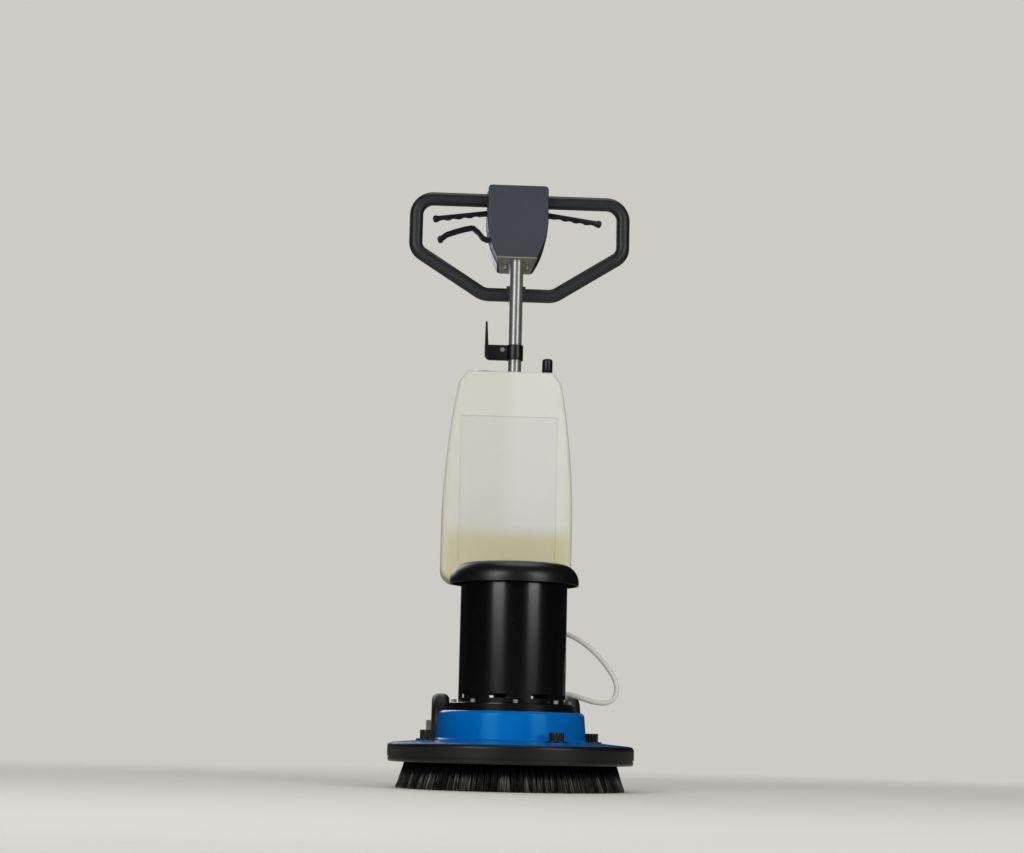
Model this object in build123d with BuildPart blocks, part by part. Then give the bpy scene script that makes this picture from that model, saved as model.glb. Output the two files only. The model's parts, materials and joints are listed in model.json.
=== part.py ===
"""Single-disc floor machine with a solution tank on its handle.

The origin is on the floor under the motor shaft, +Z is up and the operator stands at +Y.
Every length is in millimetres and every angle in degrees.
"""

import math
import os

from build123d import *

os.makedirs("parts", exist_ok=True)

# Fits and clearances
RUNNING_GAP = 0.04  # radial gap of a shaft that turns in a bore
SEAT_GAP = 0.1  # radial gap of pieces that are pushed together
BODY_GAP = 0.3  # gap between pieces of different bodies
CUT_PAST = 1.0  # how far a cut runs past the solid that it goes through

# Brush
BRISTLE_LENGTH = 50.0
BRISTLE_TIP_SPREAD = 13.0
BRISTLE_ROOT_INSET = 6.0
BRISTLE_INNER_RADIUS = 66.0
BRISTLE_INNER_SPREAD = 6.0
BLOCK_SIDE_GAP = 15.0
BLOCK_HEIGHT = 18.0
BLOCK_EDGE_RADIUS = 3.0
CLUTCH_RADIUS = 62.0
CLUTCH_HEIGHT = 9.0
HUB_RADIUS = 34.0
HUB_RECESS = 4.0
LUG_REACH = 10.0
LUG_WIDTH = 12.0
LUG_GAP = 0.4
LUG_COUNT = 3

# Gear train
GEAR_MODULE = 1.5
SUN_TEETH = 15
PLANET_TEETH = 45
RING_TEETH = SUN_TEETH + 2 * PLANET_TEETH
PLANET_COUNT = 3
PRESSURE_ANGLE = 20.0
ADDENDUM = 0.8 * GEAR_MODULE
DEDENDUM = 1.05 * GEAR_MODULE
FLANK_GAP = 0.12
GEAR_FACE = 18.0
RING_RIM = 9.2
RING_EXTRA_HEIGHT = 2.0
PLANET_PIN_RADIUS = 8.0
CARRIER_RADIUS = 74.0
CARRIER_THICKNESS = 6.0
CARRIER_GAP = 1.0
OUTPUT_SHAFT_RADIUS = 15.0
OUTPUT_BEARING_RADIUS = 31.0
OUTPUT_BEARING_HEIGHT = 16.0
SEAL_HEIGHT = 6.0
CASE_WALL = 7.0
CASE_FLOOR = 6.0
CASE_HUB_WALL = 9.0
CASE_HUB_GAP = 2.0
CASE_HEADROOM = 18.4

# Deck
DRUM_HEIGHT = 53.8
DRUM_TOP_RADIUS = 139.7
DRUM_BASE_RADIUS = 144.0
DRUM_EDGE_RADIUS = 8.0
DECK_WALL = 4.0
DECK_EDGE_DROP = 7.6
SKIRT_RADIUS = 227.0
SKIRT_DEPTH = 32.0
CASE_HOLE_GAP = 2.0

# Bumper ring
BUMPER_THICKNESS = 9.0
BUMPER_OVERHANG = 4.5
BUMPER_TOP_DROP = 0.5
BUMPER_EDGE_RADIUS = 4.0
BUMPER_GROOVE_HEIGHT = 8.0
BUMPER_GROOVE_WIDTH = 2.0
BUMPER_GROOVE_DEPTH = 2.5
BUMPER_LIP_STEP = 1.2
BUMPER_LEDGE = 4.0

# Deck hand knobs
KNOB_COUNT = 4
KNOB_PITCH_RADIUS = 178.0
KNOB_START_ANGLE = -64.5
KNOB_BOSS_RADIUS = 22.0
KNOB_SEAT_DROP = 3.0
KNOB_BOSS_DEPTH = 7.0
KNOB_WASHER_RADIUS = 21.0
KNOB_WASHER_THICKNESS = 3.0
KNOB_RADIUS = 14.0
KNOB_HEIGHT = 16.0
KNOB_STUD_RADIUS = 4.0
KNOB_STUD_LENGTH = 12.0
KNOB_EDGE_RADIUS = 2.0

# Motor
FLANGE_RADIUS = 119.0
FLANGE_HEIGHT = 15.6
FLANGE_EDGE_RADIUS = 2.0
SPIGOT_HEIGHT = 5.0
CAN_RADIUS = 103.0
CAN_WALL = 3.0
CAN_HEIGHT = 231.0
BELL_THICKNESS = 14.0
STATOR_LIFT = 52.0
STATOR_HEIGHT = 115.0
STATOR_BORE_RADIUS = 56.0
AIR_GAP = 0.6
WINDING_RADIUS = 92.0
WINDING_HEIGHT = 25.0
WINDING_INSET = 4.0
SHAFT_RADIUS = 12.5
SHAFT_TOP_RADIUS = 10.0
SHAFT_NECK_RADIUS = 9.0
SHAFT_NECK_LENGTH = 3.0
SHAFT_HOLE_GAP = 1.0
LOWER_BEARING_RADIUS = 26.0
LOWER_BEARING_HEIGHT = 13.0
UPPER_BEARING_RADIUS = 23.5
UPPER_BEARING_HEIGHT = 12.0
BEARING_SHOULDER = 2.0
FAN_RADIUS = 74.0
FAN_HUB_RADIUS = 16.0
FAN_HEIGHT = 16.0
FAN_PLATE = 2.5
FAN_BLADE_THICKNESS = 2.5
FAN_BLADE_COUNT = 8
FAN_BLADE_INSET = 2.0
FAN_LIFT = 5.0
FLANGE_BOLT_COUNT = 8
FLANGE_BOLT_PITCH_RADIUS = 111.0
FLANGE_BOLT_START_ANGLE = -134.0
BOLT_RADIUS = 3.0
BOLT_HEAD_RADIUS = 5.0
BOLT_HEAD_HEIGHT = 6.0
BOLT_LENGTH = 12.0

# Motor cap
CAP_RADIUS = 125.0
CAP_SKIRT = 3.0
CAP_RISE = 40.0
CAP_WALL = 3.0
CAP_SHOULDER_INSET = 37.0
CAP_SHOULDER_DROP = 3.0
CAP_BEND_INSET = 11.0
CAP_BEND_DROP = 12.0
CAP_POST_RADIUS = 6.0
CAP_POST_PITCH_RADIUS = 86.0
CAP_POST_COUNT = 4
CAP_POST_START_ANGLE = 45.0

# Axle bracket, handle pivot and wheel axle
BRACKET_HALF_WIDTH = 52.0
BRACKET_FRONT_Y = 150.0
BRACKET_REAR_Y = 208.0
BRACKET_SEAT_RISE = 1.0
BRACKET_PLATE = 6.0
CHEEK_OUTER_X = 50.0
CHEEK_THICKNESS = 8.0
CHEEK_BOSS_RADIUS = 19.0
CHEEK_FRONT_HEIGHT = 12.0
BRACKET_BOLT_X = 26.0
BRACKET_BOLT_Y = (160.0, 196.0)
PIVOT_Y = 213.0
PIVOT_RISE = 45.4
PIVOT_PIN_RADIUS = 8.0
PIVOT_HEAD_RADIUS = 13.0
PIVOT_HEAD_HEIGHT = 5.0
AXLE_Y = 268.0
AXLE_RISE = 25.4
AXLE_RADIUS = 10.0
JOURNAL_RADIUS = 8.0

# Wheels
WHEEL_RADIUS = 65.0
WHEEL_WIDTH = 36.0
WHEEL_INNER_X = 115.0
WHEEL_SIDE_GAP = 0.5
WHEEL_HUB_RADIUS = 44.0
WHEEL_WEB_THICKNESS = 10.0
WHEEL_BOSS_RADIUS = 17.0
WHEEL_RIM_WALL = 5.0
WHEEL_HOLE_COUNT = 5
WHEEL_HOLE_RADIUS = 6.0
TYRE_EDGE_RADIUS = 13.0
NUT_RADIUS = 12.0
NUT_HEIGHT = 10.0
AXLE_END_INSET = 1.0

# Handle pole and fork
POLE_RADIUS = 14.0
POLE_WALL = 2.0
FORK_HALF_WIDTH = 38.0
FORK_BOSS_RADIUS = 20.0
FORK_SOCKET_RADIUS = 20.0
FORK_HEIGHT = 92.0
FORK_SLOT_GAP = 1.0
FORK_LEDGE = 4.0
SLOT_HEADROOM = 6.0

# Tilt lock
QUADRANT_RADIUS = 30.0
QUADRANT_THICKNESS = 9.0
SHOE_LENGTH = 16.0
SHOE_HEIGHT = 11.0
LOCK_ROD_RADIUS = 3.0
LOCK_ROD_HOLE_GAP = 0.6
COLLAR_RADIUS = 6.5
COLLAR_GAP = 1.0
COLLAR_HEIGHT = 4.0
ROD_ABOVE_COLLAR = 12.0

# Solution tank, heights above the handle pivot
TANK_BOTTOM_RISE = 265.0
TANK_HEIGHT = 431.0
TANK_FRONT_Y = 130.0
TANK_DEPTH = 120.0
TANK_OFFSET_X = -11.0
TANK_HALF_WIDTH = 131.5
TANK_SIDE_HEIGHT = 135.0
TANK_MID_HALF_WIDTH = 124.5
TANK_MID_HEIGHT = 267.0
TANK_SHOULDER_HALF_WIDTH = 105.0
TANK_SHOULDER_DROP = 24.0
TANK_TOP_HALF_WIDTH = 88.0
TANK_BOTTOM_CORNER = 30.0
TANK_EDGE_RADIUS = 10.0
TANK_WALL = 3.0
TANK_CHANNEL_GAP = 2.0
PANEL_DEPTH = 1.5
PANEL_SIDE_MARGIN = 7.0
PANEL_TOP_DROP = 94.0
PANEL_BOTTOM_MARGIN = 40.0
FILLER_X = -62.0
FILLER_Y = 214.0
FILLER_NECK_RADIUS = 24.0
FILLER_NECK_WALL = 3.0
FILLER_NECK_HEIGHT = 5.0
FILLER_CAP_RADIUS = 28.0
FILLER_CAP_HEIGHT = 9.0
FILLER_CAP_TOP = 3.0
BRACKET_STRAP_THICKNESS = 3.0
BRACKET_STRAP_HEIGHT = 30.0
BRACKET_STRAP_HALF_WIDTH = 60.0
BRACKET_STRAP_RISES = (60.0, 360.0)

# Solution valve
VALVE_X = 67.0
VALVE_Y = 190.0
VALVE_BODY_RADIUS = 10.0
VALVE_FLANGE_RADIUS = 17.0
VALVE_FLANGE_HEIGHT = 5.0
VALVE_NOZZLE_RADIUS = 6.5
VALVE_NOZZLE_LENGTH = 28.0
VALVE_SEAT_HEIGHT = 3.0
VALVE_PLUG_RADIUS = 8.0
VALVE_PLUG_HEIGHT = 8.0
VALVE_ROD_RADIUS = 3.0
VALVE_ROD_HOLE_GAP = 0.5
VALVE_KNOB_RADIUS = 11.0
VALVE_KNOB_HEIGHT = 32.0
VALVE_KNOB_HEX_HEIGHT = 8.0
VALVE_KNOB_DOME = 5.0

# Solution hose and its inlet on the deck
HOSE_RADIUS = 5.0
HOSE_BORE_RADIUS = 3.0
HOSE_RUN_SHARE = 0.45
INLET_X = 80.0
INLET_Y = 158.0
INLET_BOSS_RADIUS = 9.0
INLET_BOSS_HEIGHT = 26.4
HOSE_POINTS = (
    (67, 190, 343),
    (92, 181, 316),
    (131, 172, 303),
    (166, 166, 279),
    (197, 160, 246),
    (218, 157, 212),
    (217, 155, 184),
    (199, 153, 170),
    (170, 152, 172),
    (139, 154, 182),
    (113, 157, 189),
    (87, 159, 174),
    (80, 158, 145),
)

# Cable hook
HOOK_ABOVE_TANK = 37.0
HOOK_HEIGHT = 31.0
HOOK_CLAMP_RADIUS = 17.5
HOOK_REACH = 63.0
HOOK_CORNER_RADIUS = 12.0
HOOK_THICKNESS = 12.0
HOOK_PRONG_WIDTH = 9.0
HOOK_PRONG_TIP_WIDTH = 4.0
HOOK_PRONG_TIP_INSET = 1.0
HOOK_PRONG_HEIGHT = 80.0
HOOK_SCREW_X = -26.0
HOOK_SCREW_RADIUS = 4.5
HOOK_SCREW_DROP = 10.0

# Loop handle, heights above the handle pivot
LOOP_RADIUS = 14.2
LOOP_WALL = 2.0
LOOP_BOTTOM_RISE = 877.5
LOOP_HEIGHT = 202.5
LOOP_CORNER_HEIGHT = 92.0
LOOP_HALF_WIDTH = 218.5
LOOP_OFFSET_X = 6.0
LOOP_BOTTOM_HALF_WIDTH = 74.0
LOOP_TOP_BEND = 36.0
LOOP_SIDE_BEND = 30.0
LOOP_BOTTOM_BEND = 40.0
LOOP_JOINT_HALF_GAP = 2.0
SADDLE_HALF_WIDTH = 20.0
SADDLE_TAPER = 8.0
SADDLE_ABOVE = 14.0
SADDLE_BELOW = 28.0
SADDLE_FRONT = 4.0

# Control box
BOX_ABOVE_LOOP_BOTTOM = 71.0
BOX_HEIGHT = 154.5
BOX_FRONT_Y = 190.0
BOX_REAR_Y = 312.0
BOX_HALF_WIDTH = 64.0
BOX_BOTTOM_HALF_WIDTH = 41.0
BOX_WAIST_HEIGHT = 76.0
BOX_TOP_HALF_WIDTH = 63.0
BOX_LOW_REACH = 11.0
BOX_LOW_HALF_WIDTH = 34.5
BOX_CURVE_HEIGHT = 32.0
BOX_CURVE_HALF_WIDTH = 55.5
BOX_CORNER_RADIUS = 8.0
BOX_WALL = 3.0
BOX_EDGE_RADIUS = 5.0
BOX_REAR_EDGE_RADIUS = 8.0
SHELL_OUTSET = 1.5
PLATE_TILT = 4.0
PLATE_THICKNESS = 2.5
PLATE_REAR_HALF_WIDTH = 33.0
PLATE_LENGTH = 116.0
PLATE_RIM = 6.0
GUSSET_THICKNESS = 4.0
GUSSET_TOP_HALF_WIDTH = 20.0
GUSSET_LOW_HALF_WIDTH = 9.0
GUSSET_HEIGHT = 46.0
GLAND_X = 21.0
GLAND_Y = 245.0
GLAND_RADIUS = 7.0
GLAND_LENGTH = 9.0
GLAND_NECK_RADIUS = 5.0
GLAND_BORE_RADIUS = 3.5
GLAND_NUT_HEIGHT = 5.0
SWITCH_SIZE = (30.0, 34.0, 26.0)
SWITCH_Z_DROP = 85.0
CAPACITOR_RADIUS = 18.0
CAPACITOR_HEIGHT = 70.0
CAPACITOR_X = -20.0
CAPACITOR_REAR_INSET = 34.0
CAPACITOR_FOOT_GAP = 0.1
COVER_SCREW_X = 44.0
COVER_SCREW_DROPS = (32.0, 92.0)
COVER_SCREW_RADIUS = 4.0
COVER_SCREW_HEAD = 2.0

# Levers
LEVER_THICKNESS = 9.5
LEVER_WIDTH = 14.0
LEVER_BALL_RADIUS = 6.5
LEVER_PIN_RADIUS = 3.0
LEVER_BOSS_RADIUS = 8.0
LEVER_SLOT_HALF_HEIGHT = 12.0
LEVER_SLOT_SIDE_GAP = 1.5
SWITCH_LEVER_Y = 235.0
SWITCH_LEVER_PIVOT_X = 46.0
SWITCH_LEVER_DROP = 27.5
SWITCH_LEVER_REACH = 172.0
SWITCH_LEVER_TIP_DROP = 17.5
LEVER_SCALLOP_COUNT = 4
LEVER_SCALLOP_START = 40.0
LEVER_SCALLOP_PITCH = 23.0
LEVER_SCALLOP_RADIUS = 17.0
LEVER_SCALLOP_DEPTH = 2.0
RELEASE_PIVOT_X = 34.0
RELEASE_DROP = 92.5
RELEASE_SLOT_RISE = 4.0
RELEASE_LEVER_POINTS = (
    (-64.0, 0.0),
    (-73.0, 3.5),
    (-82.0, 15.0),
    (-94.0, 25.0),
    (-110.0, 21.5),
    (-128.0, 16.0),
    (-148.0, 8.5),
    (-161.0, -2.0),
)
RELEASE_LEVER_BEND = 8.0
LEVER_ROD_GAP = 1.2

# Heights worked out from the floor up
BLOCK_TOP = BRISTLE_LENGTH + BLOCK_HEIGHT
CLUTCH_TOP = BLOCK_TOP + CLUTCH_HEIGHT
SEAL_BOTTOM = CLUTCH_TOP + CASE_HUB_GAP
OUTPUT_BEARING_BOTTOM = SEAL_BOTTOM + SEAL_HEIGHT
CASE_FLOOR_TOP = OUTPUT_BEARING_BOTTOM + OUTPUT_BEARING_HEIGHT
CARRIER_BOTTOM = CASE_FLOOR_TOP + CARRIER_GAP
CARRIER_TOP = CARRIER_BOTTOM + CARRIER_THICKNESS
GEAR_BOTTOM = CARRIER_TOP + CARRIER_GAP
GEAR_TOP = GEAR_BOTTOM + GEAR_FACE
DRUM_TOP = GEAR_TOP + RING_EXTRA_HEIGHT + CASE_HEADROOM
DRUM_BASE = DRUM_TOP - DRUM_HEIGHT
DECK_EDGE = DRUM_BASE - DECK_EDGE_DROP
SKIRT_BOTTOM = DECK_EDGE - SKIRT_DEPTH
KNOB_SEAT = DRUM_BASE - KNOB_SEAT_DROP
FLANGE_TOP = DRUM_TOP + FLANGE_HEIGHT
CAN_TOP = FLANGE_TOP + CAN_HEIGHT
STATOR_BOTTOM = FLANGE_TOP + STATOR_LIFT
BRACKET_SEAT = DRUM_BASE + BRACKET_SEAT_RISE
AXLE_Z = BRACKET_SEAT + AXLE_RISE
PIVOT_Z = BRACKET_SEAT + PIVOT_RISE
SHOE_BOTTOM = PIVOT_Z + QUADRANT_RADIUS + BODY_GAP
SLOT_TOP = SHOE_BOTTOM + SHOE_HEIGHT + SLOT_HEADROOM
POLE_BOTTOM = SLOT_TOP + FORK_LEDGE
TANK_BOTTOM = PIVOT_Z + TANK_BOTTOM_RISE
TANK_TOP = TANK_BOTTOM + TANK_HEIGHT
HOOK_BOTTOM = TANK_TOP + HOOK_ABOVE_TANK
LOOP_BOTTOM = PIVOT_Z + LOOP_BOTTOM_RISE
LOOP_TOP = LOOP_BOTTOM + LOOP_HEIGHT
LOOP_Y = PIVOT_Y + POLE_RADIUS + LOOP_RADIUS + BODY_GAP
BOX_BOTTOM = LOOP_BOTTOM + BOX_ABOVE_LOOP_BOTTOM
BOX_TOP = BOX_BOTTOM + BOX_HEIGHT
BOX_SEAM_Y = LOOP_Y
SWITCH_LEVER_Z = LOOP_TOP - SWITCH_LEVER_DROP
RELEASE_LEVER_Z = LOOP_TOP - RELEASE_DROP

# Radii and places worked out from the fits
BLOCK_RADIUS = SKIRT_RADIUS - DECK_WALL - BLOCK_SIDE_GAP
BRISTLE_TIP_RADIUS = BLOCK_RADIUS + BRISTLE_TIP_SPREAD
BRISTLE_ROOT_RADIUS = BLOCK_RADIUS - BRISTLE_ROOT_INSET
CHANNEL_RADIUS = POLE_RADIUS + TANK_CHANNEL_GAP
RING_ROOT_RADIUS = GEAR_MODULE * RING_TEETH / 2 + DEDENDUM
RING_OUTER_RADIUS = RING_ROOT_RADIUS + RING_RIM
CASE_BORE_RADIUS = RING_OUTER_RADIUS + SEAT_GAP
CASE_RADIUS = CASE_BORE_RADIUS + CASE_WALL
CASE_HUB_RADIUS = OUTPUT_BEARING_RADIUS + CASE_HUB_WALL
BRACKET_BOLT_POINTS = [(x, y) for x in (-BRACKET_BOLT_X, BRACKET_BOLT_X) for y in BRACKET_BOLT_Y]
PLANET_DISTANCE = GEAR_MODULE * (SUN_TEETH + PLANET_TEETH) / 2
CAN_BORE_RADIUS = CAN_RADIUS - CAN_WALL

# The tilted plane that carries the control box's metal base plate
PLATE_NORMAL = (0, math.sin(math.radians(PLATE_TILT)), math.cos(math.radians(PLATE_TILT)))
PLATE_PLANE = Plane(origin=(0, BOX_FRONT_Y, BOX_BOTTOM), x_dir=(1, 0, 0), z_dir=PLATE_NORMAL)

GLAND_POINTS = [(x, (GLAND_Y - BOX_FRONT_Y) / PLATE_NORMAL[2]) for x in (-GLAND_X, GLAND_X)]


def finish(builder, name):
    """Label a finished piece and write it to its own STEP file."""
    builder.part.label = name
    export_step(builder.part, f"parts/{name}.step")


def ring(outer_radius, inner_radius, bottom, height):
    """Return a ring about the motor axis."""
    with BuildPart() as body:
        with BuildSketch(Plane.XY.offset(bottom)):
            Circle(outer_radius)
            Circle(inner_radius, mode=Mode.SUBTRACT)
        extrude(amount=height)
    return body


def polar_points(radius, count, start_angle):
    """Return evenly spaced points on a circle about the motor axis."""
    step = 360.0 / count
    angles = [math.radians(start_angle + step * index) for index in range(count)]
    return [(radius * math.cos(angle), radius * math.sin(angle)) for angle in angles]


def involute(angle):
    """Return the involute function of an angle in radians."""
    return math.tan(angle) - angle


def gear_points(teeth, outward, inward, thickness_change):
    """Return the outline of an involute gear with a tooth centred on the X axis.

    outward and inward are the depths past the pitch circle, and thickness_change
    is added to each flank, so a negative value leaves backlash.
    """
    pitch_radius = GEAR_MODULE * teeth / 2
    pressure = math.radians(PRESSURE_ANGLE)
    base_radius = pitch_radius * math.cos(pressure)
    half_tooth = (math.pi * GEAR_MODULE / 4 + thickness_change) / pitch_radius
    root = pitch_radius - inward
    tip = pitch_radius + outward
    flank_start = max(root, base_radius)
    radii = [flank_start + (tip - flank_start) * step / 3 for step in range(4)]
    flank = []
    if root < base_radius:
        flank.append((root, half_tooth + involute(pressure)))
    for radius in radii:
        roll = math.acos(min(1.0, base_radius / radius))
        flank.append((radius, half_tooth + involute(pressure) - involute(roll)))
    points = []
    for tooth in range(teeth):
        centre = 2 * math.pi * tooth / teeth
        rising = [(radius, centre - half) for radius, half in flank]
        falling = [(radius, centre + half) for radius, half in reversed(flank)]
        for radius, angle in rising + falling:
            points.append((radius * math.cos(angle), radius * math.sin(angle)))
    return points


# ---------------------------------------------------------------- brush

with BuildPart() as brush_bristles:
    with BuildSketch(Plane.XZ):
        Polygon(
            (BRISTLE_INNER_RADIUS - BRISTLE_INNER_SPREAD, 0),
            (BRISTLE_TIP_RADIUS, 0),
            (BRISTLE_ROOT_RADIUS, BRISTLE_LENGTH),
            (BRISTLE_INNER_RADIUS, BRISTLE_LENGTH),
            align=None,
        )
    revolve(axis=Axis.Z)
finish(brush_bristles, "brush_bristles")

with BuildPart() as brush_block:
    with BuildSketch(Plane.XY.offset(BRISTLE_LENGTH)):
        Circle(BLOCK_RADIUS)
        Circle(HUB_RADIUS + LUG_GAP, mode=Mode.SUBTRACT)
    extrude(amount=BLOCK_HEIGHT)
    round_edges = brush_block.edges().filter_by(GeomType.CIRCLE)
    fillet(round_edges.sort_by(SortBy.RADIUS)[-2:], BLOCK_EDGE_RADIUS)
finish(brush_block, "brush_block")

with BuildPart() as clutch_plate:
    with BuildSketch(Plane.XY.offset(BLOCK_TOP)):
        Circle(CLUTCH_RADIUS)
        Circle(HUB_RADIUS + LUG_GAP, mode=Mode.SUBTRACT)
        with PolarLocations(HUB_RADIUS, LUG_COUNT):
            Rectangle(2 * (LUG_REACH + LUG_GAP), LUG_WIDTH + 2 * LUG_GAP, mode=Mode.SUBTRACT)
    extrude(amount=CLUTCH_HEIGHT)
finish(clutch_plate, "clutch_plate")

with BuildPart() as drive_hub:
    with BuildSketch(Plane.XY.offset(BLOCK_TOP - HUB_RECESS)):
        Circle(HUB_RADIUS)
    extrude(amount=HUB_RECESS + CLUTCH_HEIGHT)
    with BuildSketch(Plane.XY.offset(BLOCK_TOP + LUG_GAP)):
        with PolarLocations(HUB_RADIUS, LUG_COUNT):
            Rectangle(2 * LUG_REACH, LUG_WIDTH)
    extrude(amount=CLUTCH_HEIGHT - LUG_GAP)
    with BuildSketch(Plane.XY.offset(BLOCK_TOP)):
        Circle(OUTPUT_SHAFT_RADIUS + SEAT_GAP)
    extrude(amount=CLUTCH_HEIGHT, mode=Mode.SUBTRACT)
finish(drive_hub, "drive_hub")

# ---------------------------------------------------------------- gear train

with BuildPart() as output_carrier:
    with BuildSketch(Plane.XY.offset(BLOCK_TOP)):
        Circle(OUTPUT_SHAFT_RADIUS)
    extrude(amount=CARRIER_BOTTOM - BLOCK_TOP)
    with BuildSketch(Plane.XY.offset(CARRIER_BOTTOM)):
        Circle(CARRIER_RADIUS)
    extrude(amount=CARRIER_THICKNESS)
    with BuildSketch(Plane.XY.offset(CARRIER_TOP)):
        with PolarLocations(PLANET_DISTANCE, PLANET_COUNT):
            Circle(PLANET_PIN_RADIUS)
    extrude(amount=GEAR_TOP + CARRIER_GAP - CARRIER_TOP)
finish(output_carrier, "output_carrier")


def planet_gear(index):
    """Return one planet gear on its pin, in mesh with the sun and the ring."""
    with BuildPart() as gear:
        with BuildSketch(Plane.XY.offset(GEAR_BOTTOM)):
            with Locations(Rotation(0, 0, 360.0 * index / PLANET_COUNT) * Pos(PLANET_DISTANCE, 0)):
                Polygon(
                    *gear_points(PLANET_TEETH, ADDENDUM, DEDENDUM, -FLANK_GAP),
                    align=None,
                )
                Circle(PLANET_PIN_RADIUS + RUNNING_GAP, mode=Mode.SUBTRACT)
        extrude(amount=GEAR_FACE)
    return gear


for planet_index in range(PLANET_COUNT):
    finish(planet_gear(planet_index), f"planet_gear_{planet_index + 1}")

with BuildPart() as ring_gear:
    with BuildSketch(Plane.XY.offset(GEAR_BOTTOM - RING_EXTRA_HEIGHT)):
        Circle(RING_OUTER_RADIUS)
        Polygon(
            *gear_points(RING_TEETH, DEDENDUM, ADDENDUM, FLANK_GAP),
            align=None,
            mode=Mode.SUBTRACT,
        )
    extrude(amount=GEAR_FACE + 2 * RING_EXTRA_HEIGHT)
finish(ring_gear, "ring_gear")

with BuildPart() as gear_case:
    with BuildSketch(Plane.XY.offset(CASE_FLOOR_TOP - CASE_FLOOR)):
        Circle(CASE_RADIUS)
    extrude(amount=DRUM_TOP - CASE_FLOOR_TOP + CASE_FLOOR)
    with BuildSketch(Plane.XY.offset(SEAL_BOTTOM)):
        Circle(CASE_HUB_RADIUS)
    extrude(amount=CASE_FLOOR_TOP - CASE_FLOOR - SEAL_BOTTOM)
    with BuildSketch(Plane.XY.offset(CASE_FLOOR_TOP)):
        Circle(CASE_BORE_RADIUS)
    extrude(amount=DRUM_TOP - CASE_FLOOR_TOP, mode=Mode.SUBTRACT)
    with BuildSketch(Plane.XY.offset(SEAL_BOTTOM)):
        Circle(OUTPUT_BEARING_RADIUS)
    extrude(amount=CASE_FLOOR_TOP - SEAL_BOTTOM, mode=Mode.SUBTRACT)
finish(gear_case, "gear_case")

output_bearing = ring(
    OUTPUT_BEARING_RADIUS - RUNNING_GAP,
    OUTPUT_SHAFT_RADIUS + RUNNING_GAP,
    OUTPUT_BEARING_BOTTOM,
    OUTPUT_BEARING_HEIGHT,
)
finish(output_bearing, "output_bearing")

oil_seal = ring(
    OUTPUT_BEARING_RADIUS - RUNNING_GAP,
    OUTPUT_SHAFT_RADIUS + RUNNING_GAP,
    SEAL_BOTTOM,
    SEAL_HEIGHT,
)
finish(oil_seal, "oil_seal")

# ---------------------------------------------------------------- deck

with BuildPart() as deck_housing:
    with BuildSketch(Plane.XZ) as deck_profile:
        with BuildLine():
            Polyline(
                (CASE_RADIUS + CASE_HOLE_GAP, DRUM_TOP),
                (DRUM_TOP_RADIUS, DRUM_TOP),
                (DRUM_BASE_RADIUS, DRUM_BASE),
                (SKIRT_RADIUS, DECK_EDGE),
                (SKIRT_RADIUS, SKIRT_BOTTOM),
                (SKIRT_RADIUS - DECK_WALL, SKIRT_BOTTOM),
                (SKIRT_RADIUS - DECK_WALL, DECK_EDGE - DECK_WALL),
                (DRUM_BASE_RADIUS - DECK_WALL, DRUM_BASE - DECK_WALL),
                (DRUM_TOP_RADIUS - DECK_WALL, DRUM_TOP - DECK_WALL),
                (CASE_RADIUS + CASE_HOLE_GAP, DRUM_TOP - DECK_WALL),
                close=True,
            )
        make_face()
        corners = deck_profile.vertices()
        fillet(corners.sort_by_distance((DRUM_TOP_RADIUS, DRUM_TOP))[0], DRUM_EDGE_RADIUS)
        corners = deck_profile.vertices()
        inner_corner = (DRUM_TOP_RADIUS - DECK_WALL, DRUM_TOP - DECK_WALL)
        fillet(corners.sort_by_distance(inner_corner)[0], DRUM_EDGE_RADIUS - DECK_WALL)
        corners = deck_profile.vertices()
        fillet(corners.sort_by_distance((DRUM_BASE_RADIUS, DRUM_BASE))[0], DRUM_EDGE_RADIUS / 2)
    revolve(axis=Axis.Z)
    with BuildSketch(Plane.XY.offset(KNOB_SEAT)):
        with Locations(*polar_points(KNOB_PITCH_RADIUS, KNOB_COUNT, KNOB_START_ANGLE)):
            Circle(KNOB_BOSS_RADIUS)
        with Locations((INLET_X, INLET_Y)):
            Circle(INLET_BOSS_RADIUS + HOSE_BORE_RADIUS)
    extrude(amount=DECK_WALL, mode=Mode.SUBTRACT)
    with BuildSketch(Plane.XY.offset(KNOB_SEAT)):
        with Locations(*polar_points(KNOB_PITCH_RADIUS, KNOB_COUNT, KNOB_START_ANGLE)):
            Circle(KNOB_BOSS_RADIUS)
        with Locations((INLET_X, INLET_Y)):
            Circle(INLET_BOSS_RADIUS + HOSE_BORE_RADIUS)
    extrude(amount=-KNOB_BOSS_DEPTH)
    with BuildSketch(Plane.XY.offset(BRACKET_SEAT)):
        with Locations((0, (BRACKET_FRONT_Y + BRACKET_REAR_Y) / 2)):
            Rectangle(2 * BRACKET_HALF_WIDTH, BRACKET_REAR_Y - BRACKET_FRONT_Y)
    extrude(amount=-KNOB_BOSS_DEPTH - DECK_WALL)
    with BuildSketch(Plane.XY.offset(BRACKET_SEAT)):
        with Locations(*polar_points(KNOB_PITCH_RADIUS, KNOB_COUNT, KNOB_START_ANGLE)):
            Circle(KNOB_STUD_RADIUS + SEAT_GAP)
        with Locations((INLET_X, INLET_Y)):
            Circle(HOSE_RADIUS + SEAT_GAP)
        with Locations(*BRACKET_BOLT_POINTS):
            Circle(BOLT_RADIUS + SEAT_GAP)
    extrude(amount=-4 * DECK_WALL, mode=Mode.SUBTRACT)
finish(deck_housing, "deck_housing")

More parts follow.
